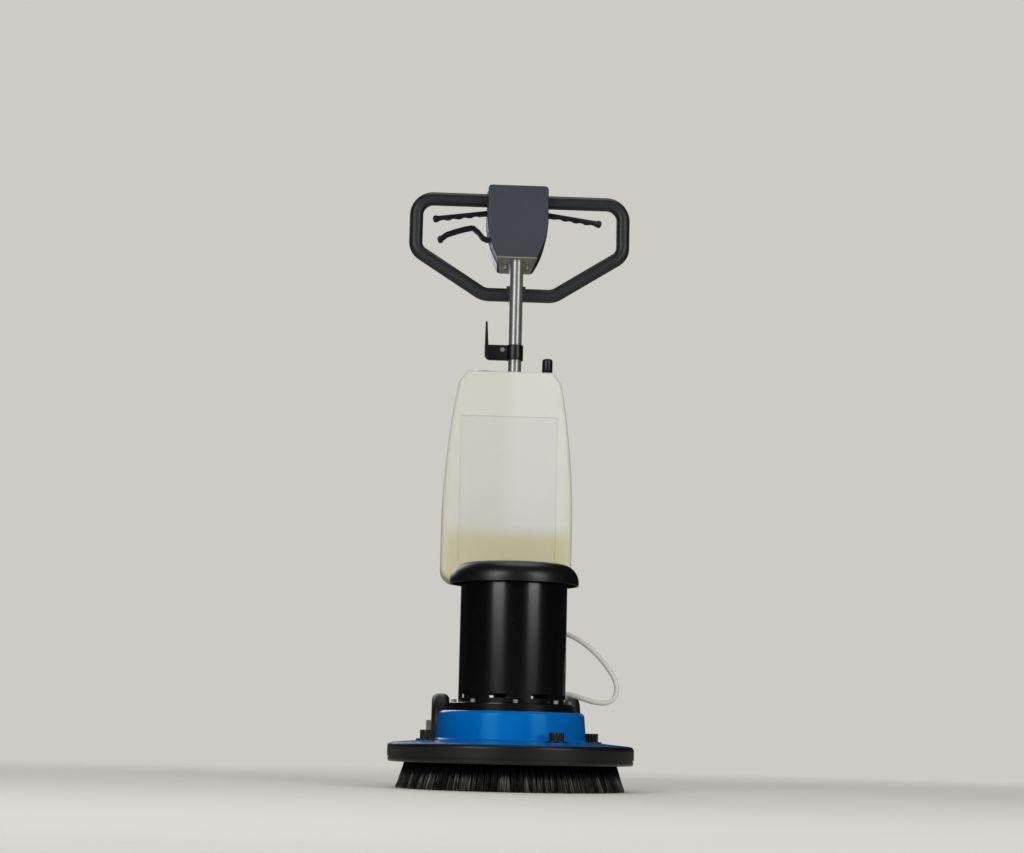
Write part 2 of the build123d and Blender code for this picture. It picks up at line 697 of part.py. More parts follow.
BUMPER_BOTTOM = SKIRT_BOTTOM - BUMPER_OVERHANG
BUMPER_TOP = DECK_EDGE - BUMPER_TOP_DROP
BUMPER_BORE_RADIUS = SKIRT_RADIUS + SEAT_GAP
BUMPER_RADIUS = BUMPER_BORE_RADIUS + BUMPER_THICKNESS
GROOVE_BOTTOM = BUMPER_BOTTOM + BUMPER_GROOVE_HEIGHT
GROOVE_TOP = GROOVE_BOTTOM + BUMPER_GROOVE_WIDTH

with BuildPart() as bumper_ring:
    with BuildSketch(Plane.XZ) as bumper_profile:
        Polygon(
            (BUMPER_BORE_RADIUS, BUMPER_TOP),
            (BUMPER_RADIUS, BUMPER_TOP),
            (BUMPER_RADIUS, GROOVE_TOP),
            (BUMPER_RADIUS - BUMPER_GROOVE_DEPTH, GROOVE_TOP),
            (BUMPER_RADIUS - BUMPER_GROOVE_DEPTH, GROOVE_BOTTOM),
            (BUMPER_RADIUS - BUMPER_LIP_STEP, GROOVE_BOTTOM),
            (BUMPER_RADIUS - BUMPER_LIP_STEP, BUMPER_BOTTOM),
            (BUMPER_BORE_RADIUS - BUMPER_LEDGE, BUMPER_BOTTOM),
            (BUMPER_BORE_RADIUS - BUMPER_LEDGE, SKIRT_BOTTOM - SEAT_GAP),
            (BUMPER_BORE_RADIUS, SKIRT_BOTTOM - SEAT_GAP),
            align=None,
        )
        corners = bumper_profile.vertices()
        fillet(corners.sort_by_distance((BUMPER_RADIUS, BUMPER_TOP))[0], 2 * BUMPER_EDGE_RADIUS)
        corners = bumper_profile.vertices()
        lip_corner = (BUMPER_RADIUS - BUMPER_LIP_STEP, BUMPER_BOTTOM)
        fillet(corners.sort_by_distance(lip_corner)[0], BUMPER_EDGE_RADIUS)
    revolve(axis=Axis.Z)
finish(bumper_ring, "bumper_ring")

with BuildPart() as deck_knobs:
    with BuildSketch(Plane.XY.offset(KNOB_SEAT)):
        with Locations(*polar_points(KNOB_PITCH_RADIUS, KNOB_COUNT, KNOB_START_ANGLE)):
            Circle(KNOB_WASHER_RADIUS)
    extrude(amount=KNOB_WASHER_THICKNESS)
    with BuildSketch(Plane.XY.offset(KNOB_SEAT + KNOB_WASHER_THICKNESS)):
        with Locations(*polar_points(KNOB_PITCH_RADIUS, KNOB_COUNT, KNOB_START_ANGLE)):
            Circle(KNOB_RADIUS)
    extrude(amount=KNOB_HEIGHT)
    fillet(deck_knobs.edges().group_by(Axis.Z)[-1], KNOB_EDGE_RADIUS)
    with BuildSketch(Plane.XY.offset(KNOB_SEAT)):
        with Locations(*polar_points(KNOB_PITCH_RADIUS, KNOB_COUNT, KNOB_START_ANGLE)):
            Circle(KNOB_STUD_RADIUS)
    extrude(amount=-KNOB_STUD_LENGTH)
finish(deck_knobs, "deck_knobs")

# ---------------------------------------------------------------- motor

with BuildPart() as motor_flange:
    with BuildSketch(Plane.XY.offset(DRUM_TOP)):
        Circle(FLANGE_RADIUS)
    extrude(amount=FLANGE_HEIGHT)
    fillet(motor_flange.edges().group_by(Axis.Z)[-1], FLANGE_EDGE_RADIUS)
    with BuildSketch(Plane.XY.offset(FLANGE_TOP)):
        Circle(CAN_BORE_RADIUS - SEAT_GAP)
    extrude(amount=SPIGOT_HEIGHT)
    with BuildSketch(Plane.XY.offset(FLANGE_TOP + SPIGOT_HEIGHT)):
        Circle(CAN_BORE_RADIUS - CAN_WALL)
    extrude(amount=-SPIGOT_HEIGHT, mode=Mode.SUBTRACT)
    with BuildSketch(Plane.XY.offset(DRUM_TOP + BEARING_SHOULDER)):
        Circle(LOWER_BEARING_RADIUS)
    extrude(amount=FLANGE_HEIGHT, mode=Mode.SUBTRACT)
    with BuildSketch(Plane.XY.offset(DRUM_TOP)):
        Circle(SHAFT_RADIUS + SHAFT_HOLE_GAP)
    extrude(amount=FLANGE_HEIGHT, mode=Mode.SUBTRACT)
    with BuildSketch(Plane.XY.offset(FLANGE_TOP)):
        with Locations(
            *polar_points(FLANGE_BOLT_PITCH_RADIUS, FLANGE_BOLT_COUNT, FLANGE_BOLT_START_ANGLE)
        ):
            Circle(BOLT_RADIUS + SEAT_GAP)
    extrude(amount=-BOLT_LENGTH, mode=Mode.SUBTRACT)
finish(motor_flange, "motor_flange")

with BuildPart() as deck_bolts:
    with BuildSketch(Plane.XY.offset(FLANGE_TOP)):
        with Locations(
            *polar_points(FLANGE_BOLT_PITCH_RADIUS, FLANGE_BOLT_COUNT, FLANGE_BOLT_START_ANGLE)
        ):
            Circle(BOLT_HEAD_RADIUS)
    extrude(amount=BOLT_HEAD_HEIGHT)
    with BuildSketch(Plane.XY.offset(FLANGE_TOP)):
        with Locations(
            *polar_points(FLANGE_BOLT_PITCH_RADIUS, FLANGE_BOLT_COUNT, FLANGE_BOLT_START_ANGLE)
        ):
            Circle(BOLT_RADIUS)
    extrude(amount=-BOLT_LENGTH)
    with BuildSketch(Plane.XY.offset(BRACKET_SEAT + BRACKET_PLATE)):
        with Locations(*BRACKET_BOLT_POINTS):
            Circle(BOLT_HEAD_RADIUS)
    extrude(amount=BOLT_HEAD_HEIGHT)
    with BuildSketch(Plane.XY.offset(BRACKET_SEAT + BRACKET_PLATE)):
        with Locations(*BRACKET_BOLT_POINTS):
            Circle(BOLT_RADIUS)
    extrude(amount=-BOLT_LENGTH)
finish(deck_bolts, "deck_bolts")

motor_can = ring(CAN_RADIUS, CAN_BORE_RADIUS, FLANGE_TOP, CAN_HEIGHT)
finish(motor_can, "motor_can")

stator_core = ring(
    CAN_BORE_RADIUS - SEAT_GAP, STATOR_BORE_RADIUS, STATOR_BOTTOM, STATOR_HEIGHT
)
finish(stator_core, "stator_core")

with BuildPart() as stator_windings:
    with BuildSketch(Plane.XY.offset(STATOR_BOTTOM)):
        Circle(WINDING_RADIUS)
        Circle(STATOR_BORE_RADIUS + WINDING_INSET, mode=Mode.SUBTRACT)
    extrude(amount=-WINDING_HEIGHT)
    with BuildSketch(Plane.XY.offset(STATOR_BOTTOM + STATOR_HEIGHT)):
        Circle(WINDING_RADIUS)
        Circle(STATOR_BORE_RADIUS + WINDING_INSET, mode=Mode.SUBTRACT)
    extrude(amount=WINDING_HEIGHT)
finish(stator_windings, "stator_windings")

UPPER_BEARING_BOTTOM = CAN_TOP - UPPER_BEARING_HEIGHT

with BuildPart() as motor_bearings:
    with BuildSketch(Plane.XY.offset(DRUM_TOP + BEARING_SHOULDER)):
        Circle(LOWER_BEARING_RADIUS - RUNNING_GAP)
        Circle(SHAFT_RADIUS + RUNNING_GAP, mode=Mode.SUBTRACT)
    extrude(amount=LOWER_BEARING_HEIGHT)
    with BuildSketch(Plane.XY.offset(UPPER_BEARING_BOTTOM)):
        Circle(UPPER_BEARING_RADIUS - RUNNING_GAP)
        Circle(SHAFT_TOP_RADIUS + RUNNING_GAP, mode=Mode.SUBTRACT)
    extrude(amount=UPPER_BEARING_HEIGHT)
finish(motor_bearings, "motor_bearings")

with BuildPart() as upper_end_bell:
    with BuildSketch(Plane.XY.offset(CAN_TOP)):
        Circle(CAN_BORE_RADIUS - SEAT_GAP)
        Circle(SHAFT_RADIUS + SHAFT_HOLE_GAP, mode=Mode.SUBTRACT)
    extrude(amount=-BELL_THICKNESS)
    with BuildSketch(Plane.XY.offset(CAN_TOP)):
        Circle(UPPER_BEARING_RADIUS)
    extrude(amount=-UPPER_BEARING_HEIGHT, mode=Mode.SUBTRACT)
finish(upper_end_bell, "upper_end_bell")

with BuildPart() as rotor_shaft:
    with BuildSketch(Plane.XY.offset(GEAR_BOTTOM)):
        Polygon(*gear_points(SUN_TEETH, ADDENDUM, DEDENDUM, -FLANK_GAP), align=None)
    extrude(amount=GEAR_FACE)
    with BuildSketch(Plane.XY.offset(GEAR_TOP)):
        Circle(SHAFT_NECK_RADIUS)
    extrude(amount=SHAFT_NECK_LENGTH)
    with BuildSketch(Plane.XY.offset(GEAR_TOP + SHAFT_NECK_LENGTH)):
        Circle(SHAFT_RADIUS)
    extrude(amount=UPPER_BEARING_BOTTOM - BODY_GAP - GEAR_TOP - SHAFT_NECK_LENGTH)
    with BuildSketch(Plane.XY.offset(UPPER_BEARING_BOTTOM - BODY_GAP)):
        Circle(SHAFT_TOP_RADIUS)
    extrude(amount=UPPER_BEARING_HEIGHT + BODY_GAP + FAN_LIFT + FAN_HEIGHT)
finish(rotor_shaft, "rotor_shaft")

rotor_core = ring(
    STATOR_BORE_RADIUS - AIR_GAP, SHAFT_RADIUS + SEAT_GAP, STATOR_BOTTOM, STATOR_HEIGHT
)
finish(rotor_core, "rotor_core")

with BuildPart() as cooling_fan:
    with BuildSketch(Plane.XY.offset(CAN_TOP + FAN_LIFT)):
        Circle(FAN_RADIUS)
    extrude(amount=FAN_PLATE)
    with BuildSketch(Plane.XY.offset(CAN_TOP + FAN_LIFT)):
        Circle(FAN_HUB_RADIUS)
        with PolarLocations((FAN_HUB_RADIUS + FAN_RADIUS) / 2 - FAN_BLADE_INSET, FAN_BLADE_COUNT):
            Rectangle(FAN_RADIUS - FAN_HUB_RADIUS, FAN_BLADE_THICKNESS)
    extrude(amount=FAN_HEIGHT)
    with BuildSketch(Plane.XY.offset(CAN_TOP + FAN_LIFT)):
        Circle(SHAFT_TOP_RADIUS + SEAT_GAP)
    extrude(amount=FAN_HEIGHT, mode=Mode.SUBTRACT)
finish(cooling_fan, "cooling_fan")

with BuildPart() as motor_cap:
    with BuildSketch(Plane.XZ):
        with BuildLine():
            cap_bottom = CAN_TOP - CAP_SKIRT
            rim_top = cap_bottom + 2 * CAP_WALL
            dome_top = CAN_TOP + CAP_RISE
            shoulder = (CAP_RADIUS - CAP_SHOULDER_INSET, dome_top - CAP_SHOULDER_DROP)
            bend = (CAP_RADIUS - CAP_BEND_INSET, dome_top - CAP_BEND_DROP)
            Polyline((0, dome_top - CAP_WALL), (0, dome_top), shoulder)
            ThreePointArc(shoulder, bend, (CAP_RADIUS, rim_top))
            Polyline((CAP_RADIUS, rim_top), (CAP_RADIUS, cap_bottom))
            Polyline((CAP_RADIUS, cap_bottom), (CAP_RADIUS - CAP_WALL, cap_bottom))
            Polyline((CAP_RADIUS - CAP_WALL, cap_bottom), (CAP_RADIUS - CAP_WALL, rim_top))
            ThreePointArc(
                (CAP_RADIUS - CAP_WALL, rim_top),
                (bend[0] - CAP_WALL, bend[1] - CAP_WALL / 2),
                (shoulder[0] - CAP_WALL / 2, shoulder[1] - CAP_WALL),
            )
            Polyline((shoulder[0] - CAP_WALL / 2, shoulder[1] - CAP_WALL), (0, dome_top - CAP_WALL))
        make_face()
    revolve(axis=Axis.Z)
    with BuildSketch(Plane.XY.offset(CAN_TOP)):
        with Locations(*polar_points(CAP_POST_PITCH_RADIUS, CAP_POST_COUNT, CAP_POST_START_ANGLE)):
            Circle(CAP_POST_RADIUS)
    extrude(amount=shoulder[1] - CAP_WALL - CAN_TOP + CAP_WALL / 2)
finish(motor_cap, "motor_cap")

# ---------------------------------------------------------------- axle bracket and wheels

with BuildPart() as axle_bracket:
    with BuildSketch(Plane.XY.offset(BRACKET_SEAT)):
        with Locations((0, (BRACKET_FRONT_Y + BRACKET_REAR_Y) / 2)):
            Rectangle(2 * BRACKET_HALF_WIDTH, BRACKET_REAR_Y - BRACKET_FRONT_Y)
        with Locations(*BRACKET_BOLT_POINTS):
            Circle(BOLT_RADIUS + SEAT_GAP, mode=Mode.SUBTRACT)
    extrude(amount=BRACKET_PLATE)
    for inner_x in (CHEEK_OUTER_X - CHEEK_THICKNESS, -CHEEK_OUTER_X):
        with BuildSketch(Plane.YZ.offset(inner_x)):
            with Locations((PIVOT_Y, PIVOT_Z), (AXLE_Y, AXLE_Z)):
                Circle(CHEEK_BOSS_RADIUS)
            with Locations((BRACKET_FRONT_Y, BRACKET_SEAT)):
                Rectangle(
                    BRACKET_REAR_Y - BRACKET_FRONT_Y,
                    CHEEK_FRONT_HEIGHT,
                    align=(Align.MIN, Align.MIN),
                )
            make_hull()
        extrude(amount=CHEEK_THICKNESS)
    with BuildSketch(Plane.YZ):
        with Locations((PIVOT_Y, PIVOT_Z)):
            Circle(PIVOT_PIN_RADIUS + SEAT_GAP)
        with Locations((AXLE_Y, AXLE_Z)):
            Circle(AXLE_RADIUS + SEAT_GAP)
    extrude(amount=CHEEK_OUTER_X + CUT_PAST, both=True, mode=Mode.SUBTRACT)
finish(axle_bracket, "axle_bracket")

with BuildPart() as pivot_pin:
    with BuildSketch(Plane.YZ):
        with Locations((PIVOT_Y, PIVOT_Z)):
            Circle(PIVOT_PIN_RADIUS)
    extrude(amount=CHEEK_OUTER_X + PIVOT_HEAD_HEIGHT, both=True)
    for head_x in (CHEEK_OUTER_X, -CHEEK_OUTER_X - PIVOT_HEAD_HEIGHT):
        with BuildSketch(Plane.YZ.offset(head_x)):
            with Locations((PIVOT_Y, PIVOT_Z)):
                Circle(PIVOT_HEAD_RADIUS)
        extrude(amount=PIVOT_HEAD_HEIGHT)
finish(pivot_pin, "pivot_pin")

with BuildPart() as lock_quadrant:
    with BuildSketch(Plane.YZ):
        with Locations((PIVOT_Y, PIVOT_Z)):
            Circle(QUADRANT_RADIUS)
            Circle(PIVOT_PIN_RADIUS + SEAT_GAP, mode=Mode.SUBTRACT)
    extrude(amount=QUADRANT_THICKNESS / 2, both=True)
finish(lock_quadrant, "lock_quadrant")

JOURNAL_START = WHEEL_INNER_X - WHEEL_SIDE_GAP
JOURNAL_END = WHEEL_INNER_X + WHEEL_WIDTH + WHEEL_SIDE_GAP

with BuildPart() as wheel_axle:
    with BuildSketch(Plane.YZ):
        with Locations((AXLE_Y, AXLE_Z)):
            Circle(AXLE_RADIUS)
    extrude(amount=JOURNAL_START, both=True)
    with BuildSketch(Plane.YZ):
        with Locations((AXLE_Y, AXLE_Z)):
            Circle(JOURNAL_RADIUS)
    extrude(amount=JOURNAL_END + NUT_HEIGHT - AXLE_END_INSET, both=True)
finish(wheel_axle, "wheel_axle")

with BuildPart() as axle_nuts:
    for nut_x in (JOURNAL_END, -JOURNAL_END - NUT_HEIGHT):
        with BuildSketch(Plane.YZ.offset(nut_x)):
            with Locations((AXLE_Y, AXLE_Z)):
                RegularPolygon(NUT_RADIUS, 6)
                Circle(JOURNAL_RADIUS + SEAT_GAP / 2, mode=Mode.SUBTRACT)
        extrude(amount=NUT_HEIGHT)
finish(axle_nuts, "axle_nuts")


def wheel_hub(side):
    """Return a wheel hub on the side of the machine that side, +1 or -1, names."""
    middle = side * (WHEEL_INNER_X + WHEEL_WIDTH / 2)
    with BuildPart() as hub:
        with BuildSketch(Plane.YZ.offset(middle)):
            with Locations((AXLE_Y, AXLE_Z)):
                Circle(WHEEL_HUB_RADIUS)
                Circle(WHEEL_HUB_RADIUS - WHEEL_RIM_WALL, mode=Mode.SUBTRACT)
        extrude(amount=WHEEL_WIDTH / 2 - TYRE_EDGE_RADIUS / 2, both=True)
        with BuildSketch(Plane.YZ.offset(middle)):
            with Locations((AXLE_Y, AXLE_Z)):
                Circle(WHEEL_HUB_RADIUS - WHEEL_RIM_WALL / 2)
                with PolarLocations((WHEEL_HUB_RADIUS + WHEEL_BOSS_RADIUS) / 2, WHEEL_HOLE_COUNT):
                    Circle(WHEEL_HOLE_RADIUS, mode=Mode.SUBTRACT)
        extrude(amount=WHEEL_WEB_THICKNESS / 2, both=True)
        with BuildSketch(Plane.YZ.offset(middle)):
            with Locations((AXLE_Y, AXLE_Z)):
                Circle(WHEEL_BOSS_RADIUS)
        extrude(amount=WHEEL_WIDTH / 2, both=True)
        with BuildSketch(Plane.YZ.offset(middle)):
            with Locations((AXLE_Y, AXLE_Z)):
                Circle(JOURNAL_RADIUS + RUNNING_GAP)
        extrude(amount=WHEEL_WIDTH, both=True, mode=Mode.SUBTRACT)
    return hub


def wheel_tyre(side):
    """Return the tyre of the wheel on the side that side, +1 or -1, names."""
    middle = side * (WHEEL_INNER_X + WHEEL_WIDTH / 2)
    with BuildPart() as tyre:
        with BuildSketch(Plane.YZ.offset(middle)):
            with Locations((AXLE_Y, AXLE_Z)):
                Circle(WHEEL_RADIUS)
        extrude(amount=WHEEL_WIDTH / 2, both=True)
        fillet(tyre.edges().filter_by(GeomType.CIRCLE), TYRE_EDGE_RADIUS)
        with BuildSketch(Plane.YZ.offset(middle)):
            with Locations((AXLE_Y, AXLE_Z)):
                Circle(WHEEL_HUB_RADIUS + SEAT_GAP)
        extrude(amount=WHEEL_WIDTH, both=True, mode=Mode.SUBTRACT)
    return tyre


for wheel_name, wheel_side in (("left", -1), ("right", 1)):
    finish(wheel_hub(wheel_side), f"{wheel_name}_wheel_hub")
    finish(wheel_tyre(wheel_side), f"{wheel_name}_wheel_tyre")

# ---------------------------------------------------------------- handle pole and tilt lock

with BuildPart() as pole_fork:
    with BuildSketch(Plane.YZ):
        with Locations((PIVOT_Y, PIVOT_Z)):
            Circle(FORK_BOSS_RADIUS)
    extrude(amount=FORK_HALF_WIDTH, both=True)
    with BuildSketch(Plane.XY.offset(PIVOT_Z)):
        with Locations((0, PIVOT_Y)):
            Circle(FORK_SOCKET_RADIUS)
    extrude(amount=FORK_HEIGHT)
    with BuildSketch(Plane.YZ):
        with Locations((PIVOT_Y, PIVOT_Z)):
            Circle(PIVOT_PIN_RADIUS + RUNNING_GAP)
    extrude(amount=FORK_HALF_WIDTH + CUT_PAST, both=True, mode=Mode.SUBTRACT)
    with BuildSketch(Plane.YZ):
        with Locations((PIVOT_Y, SLOT_TOP)):
            Rectangle(
                4 * FORK_BOSS_RADIUS,
                SLOT_TOP - PIVOT_Z + 2 * FORK_BOSS_RADIUS,
                align=(Align.CENTER, Align.MAX),
            )
    extrude(amount=QUADRANT_THICKNESS / 2 + FORK_SLOT_GAP, both=True, mode=Mode.SUBTRACT)
    with BuildSketch(Plane.XY.offset(SLOT_TOP)):
        with Locations((0, PIVOT_Y)):
            Circle(LOCK_ROD_RADIUS + LOCK_ROD_HOLE_GAP)
    extrude(amount=FORK_LEDGE, mode=Mode.SUBTRACT)
    with BuildSketch(Plane.XY.offset(POLE_BOTTOM)):
        with Locations((0, PIVOT_Y)):
            Circle(POLE_RADIUS + SEAT_GAP)
    extrude(amount=FORK_HEIGHT, mode=Mode.SUBTRACT)
finish(pole_fork, "pole_fork")

with BuildPart() as handle_pole:
    with BuildSketch(Plane.XY.offset(POLE_BOTTOM)):
        with Locations((0, PIVOT_Y)):
            Circle(POLE_RADIUS)
            Circle(POLE_RADIUS - POLE_WALL, mode=Mode.SUBTRACT)
    extrude(amount=BOX_TOP - POLE_BOTTOM)
    split(bisect_by=PLATE_PLANE.offset(-PLATE_THICKNESS), keep=Keep.BOTTOM)
finish(handle_pole, "handle_pole")

COLLAR_BOTTOM = RELEASE_LEVER_Z + LEVER_THICKNESS / 2 + COLLAR_GAP

with BuildPart() as lock_rod:
    with BuildSketch(Plane.XY.offset(SHOE_BOTTOM - COLLAR_HEIGHT)):
        with Locations((0, PIVOT_Y)):
            Rectangle(QUADRANT_THICKNESS, SHOE_LENGTH)
    extrude(amount=SHOE_HEIGHT + COLLAR_HEIGHT)
    with BuildSketch(Plane.YZ):
        with Locations((PIVOT_Y, PIVOT_Z)):
            Circle(QUADRANT_RADIUS + BODY_GAP)
    extrude(amount=QUADRANT_THICKNESS, both=True, mode=Mode.SUBTRACT)
    with BuildSketch(Plane.XY.offset(SHOE_BOTTOM + SHOE_HEIGHT)):
        with Locations((0, PIVOT_Y)):
            Circle(LOCK_ROD_RADIUS)
    extrude(amount=COLLAR_BOTTOM + COLLAR_HEIGHT + ROD_ABOVE_COLLAR - SHOE_BOTTOM - SHOE_HEIGHT)
    with BuildSketch(Plane.XY.offset(COLLAR_BOTTOM)):
        with Locations((0, PIVOT_Y)):
            Circle(COLLAR_RADIUS)
    extrude(amount=COLLAR_HEIGHT)
finish(lock_rod, "lock_rod")

# ---------------------------------------------------------------- solution tank


def tank_body(inset):
    """Return the tank's solid, drawn in by inset on every side, without its openings."""
    bottom = TANK_BOTTOM + inset
    top = TANK_TOP - inset
    side = TANK_HALF_WIDTH - inset
    shoulder = TANK_SHOULDER_HALF_WIDTH - inset
    with BuildPart() as body:
        with BuildSketch(Plane.XZ.offset(-TANK_FRONT_Y - inset)) as outline:
            with BuildLine():
                Line((0, bottom), (side, bottom))
                Line((side, bottom), (side, TANK_BOTTOM + TANK_SIDE_HEIGHT))
                ThreePointArc(
                    (side, TANK_BOTTOM + TANK_SIDE_HEIGHT),
                    (TANK_MID_HALF_WIDTH - inset, TANK_BOTTOM + TANK_MID_HEIGHT),
                    (shoulder, TANK_TOP - TANK_SHOULDER_DROP),
                )
                Line((shoulder, TANK_TOP - TANK_SHOULDER_DROP), (TANK_TOP_HALF_WIDTH, top))
                Line((TANK_TOP_HALF_WIDTH, top), (0, top))
                mirror(about=Plane.YZ)
            make_face()
            fillet(outline.vertices().group_by(Axis.Y)[0], TANK_BOTTOM_CORNER - inset)
        extrude(amount=-TANK_DEPTH + 2 * inset)
        rims = body.edges().group_by(Axis.Y)
        fillet(rims[0] + rims[-1], TANK_EDGE_RADIUS - inset)
        with BuildSketch(Plane.XY.offset(TANK_BOTTOM)):
            with Locations((-TANK_OFFSET_X, PIVOT_Y)):
                Circle(CHANNEL_RADIUS + inset)
                Rectangle(
                    2 * (CHANNEL_RADIUS + inset),
                    TANK_DEPTH,
                    align=(Align.CENTER, Align.MIN),
                )
        extrude(amount=TANK_HEIGHT, mode=Mode.SUBTRACT)
    return Pos(TANK_OFFSET_X, 0, 0) * body.part


tank_cavity = tank_body(TANK_WALL)

with BuildPart() as solution_tank:
    add(tank_body(0))
    with BuildSketch(Plane.XY.offset(TANK_TOP - TANK_WALL)):
        with Locations((FILLER_X, FILLER_Y)):
            Circle(FILLER_NECK_RADIUS)
        with Locations((VALVE_X, VALVE_Y)):
            Circle(VALVE_BODY_RADIUS)
    extrude(amount=TANK_WALL + FILLER_NECK_HEIGHT)
    add(tank_cavity, mode=Mode.SUBTRACT)
    with BuildSketch(Plane.XY.offset(TANK_TOP + FILLER_NECK_HEIGHT)):
        with Locations((FILLER_X, FILLER_Y)):
            Circle(FILLER_NECK_RADIUS - FILLER_NECK_WALL)
        with Locations((VALVE_X, VALVE_Y)):
            Circle(VALVE_ROD_RADIUS + VALVE_ROD_HOLE_GAP)
    extrude(amount=-2 * (TANK_WALL + FILLER_NECK_HEIGHT), mode=Mode.SUBTRACT)
    with BuildSketch(Plane.XY.offset(TANK_BOTTOM)):
        with Locations((VALVE_X, VALVE_Y)):
            Circle(VALVE_BODY_RADIUS + SEAT_GAP)
    extrude(amount=2 * TANK_WALL, mode=Mode.SUBTRACT)
    with BuildSketch(Plane.XZ.offset(-TANK_FRONT_Y)):
        with Locations((TANK_OFFSET_X, TANK_TOP - PANEL_TOP_DROP)):
            Rectangle(
                2 * (TANK_SHOULDER_HALF_WIDTH - PANEL_SIDE_MARGIN),
                TANK_HEIGHT - PANEL_TOP_DROP - PANEL_BOTTOM_MARGIN,
                align=(Align.CENTER, Align.MAX),
            )
    extrude(amount=-PANEL_DEPTH, mode=Mode.SUBTRACT)
finish(solution_tank, "solution_tank")

with BuildPart() as filler_cap:
    with BuildSketch(Plane.XY.offset(TANK_TOP + BODY_GAP)):
        with Locations((FILLER_X, FILLER_Y)):
            Circle(FILLER_CAP_RADIUS)
    extrude(amount=FILLER_CAP_HEIGHT)
    with BuildSketch(Plane.XY.offset(TANK_TOP + BODY_GAP)):
        with Locations((FILLER_X, FILLER_Y)):
            Circle(FILLER_NECK_RADIUS + BODY_GAP)
    extrude(amount=FILLER_CAP_HEIGHT - FILLER_CAP_TOP, mode=Mode.SUBTRACT)
finish(filler_cap, "filler_cap")

with BuildPart() as tank_brackets:
    for strap_rise in BRACKET_STRAP_RISES:
        with BuildSketch(Plane.XY.offset(TANK_BOTTOM + strap_rise)):
            with Locations((0, TANK_FRONT_Y + TANK_DEPTH + SEAT_GAP)):
                Rectangle(
                    2 * BRACKET_STRAP_HALF_WIDTH,
                    BRACKET_STRAP_THICKNESS,
                    align=(Align.CENTER, Align.MIN),
                )
                Rectangle(
                    2 * (POLE_RADIUS - TANK_CHANNEL_GAP),
                    TANK_FRONT_Y + TANK_DEPTH - PIVOT_Y,
                    align=(Align.CENTER, Align.MAX),
                )
            with Locations((0, PIVOT_Y)):
                Circle(POLE_RADIUS + SEAT_GAP, mode=Mode.SUBTRACT)
        extrude(amount=BRACKET_STRAP_HEIGHT)
finish(tank_brackets, "tank_brackets")

NOZZLE_BOTTOM = TANK_BOTTOM - VALVE_FLANGE_HEIGHT - VALVE_NOZZLE_LENGTH

with BuildPart() as tank_valve:
    with BuildSketch(Plane.XY.offset(TANK_BOTTOM)):
        with Locations((VALVE_X, VALVE_Y)):
            Circle(VALVE_BODY_RADIUS)
    extrude(amount=TANK_WALL + VALVE_SEAT_HEIGHT)
    with BuildSketch(Plane.XY.offset(TANK_BOTTOM)):
        with Locations((VALVE_X, VALVE_Y)):
            Circle(VALVE_FLANGE_RADIUS)
    extrude(amount=-VALVE_FLANGE_HEIGHT)
    with BuildSketch(Plane.XY.offset(TANK_BOTTOM - VALVE_FLANGE_HEIGHT)):
        with Locations((VALVE_X, VALVE_Y)):
            Circle(VALVE_NOZZLE_RADIUS)
    extrude(amount=-VALVE_NOZZLE_LENGTH)
    with BuildSketch(Plane.XY.offset(NOZZLE_BOTTOM)):
        with Locations((VALVE_X, VALVE_Y)):
            Circle(HOSE_BORE_RADIUS)
    extrude(amount=TANK_BOTTOM + TANK_HEIGHT / 2 - NOZZLE_BOTTOM, mode=Mode.SUBTRACT)
finish(tank_valve, "tank_valve")

PLUG_BOTTOM = TANK_BOTTOM + TANK_WALL + VALVE_SEAT_HEIGHT + BODY_GAP
KNOB_BOTTOM = TANK_TOP + FILLER_NECK_HEIGHT + BODY_GAP

with BuildPart() as valve_rod:
    with BuildSketch(Plane.XY.offset(PLUG_BOTTOM)):
        with Locations((VALVE_X, VALVE_Y)):
            Circle(VALVE_PLUG_RADIUS)
    extrude(amount=VALVE_PLUG_HEIGHT)
    with BuildSketch(Plane.XY.offset(PLUG_BOTTOM)):
        with Locations((VALVE_X, VALVE_Y)):
            Circle(VALVE_ROD_RADIUS)
    extrude(amount=KNOB_BOTTOM + VALVE_KNOB_HEIGHT / 2 - PLUG_BOTTOM)
finish(valve_rod, "valve_rod")

with BuildPart() as valve_knob:
    with BuildSketch(Plane.XY.offset(KNOB_BOTTOM)):
        with Locations((VALVE_X, VALVE_Y)):
            RegularPolygon(VALVE_KNOB_RADIUS, 6)
    extrude(amount=VALVE_KNOB_HEX_HEIGHT)
    with BuildSketch(Plane.XY.offset(KNOB_BOTTOM + VALVE_KNOB_HEX_HEIGHT)):
        with Locations((VALVE_X, VALVE_Y)):
            Circle(VALVE_KNOB_RADIUS)
    extrude(amount=VALVE_KNOB_HEIGHT - VALVE_KNOB_HEX_HEIGHT)
    fillet(valve_knob.edges().group_by(Axis.Z)[-1], VALVE_KNOB_DOME)
    with BuildSketch(Plane.XY.offset(KNOB_BOTTOM)):
        with Locations((VALVE_X, VALVE_Y)):
            Circle(VALVE_ROD_RADIUS + SEAT_GAP)
    extrude(amount=VALVE_KNOB_HEIGHT / 2, mode=Mode.SUBTRACT)
finish(valve_knob, "valve_knob")

# ---------------------------------------------------------------- solution hose

INLET_TOP = KNOB_SEAT + INLET_BOSS_HEIGHT

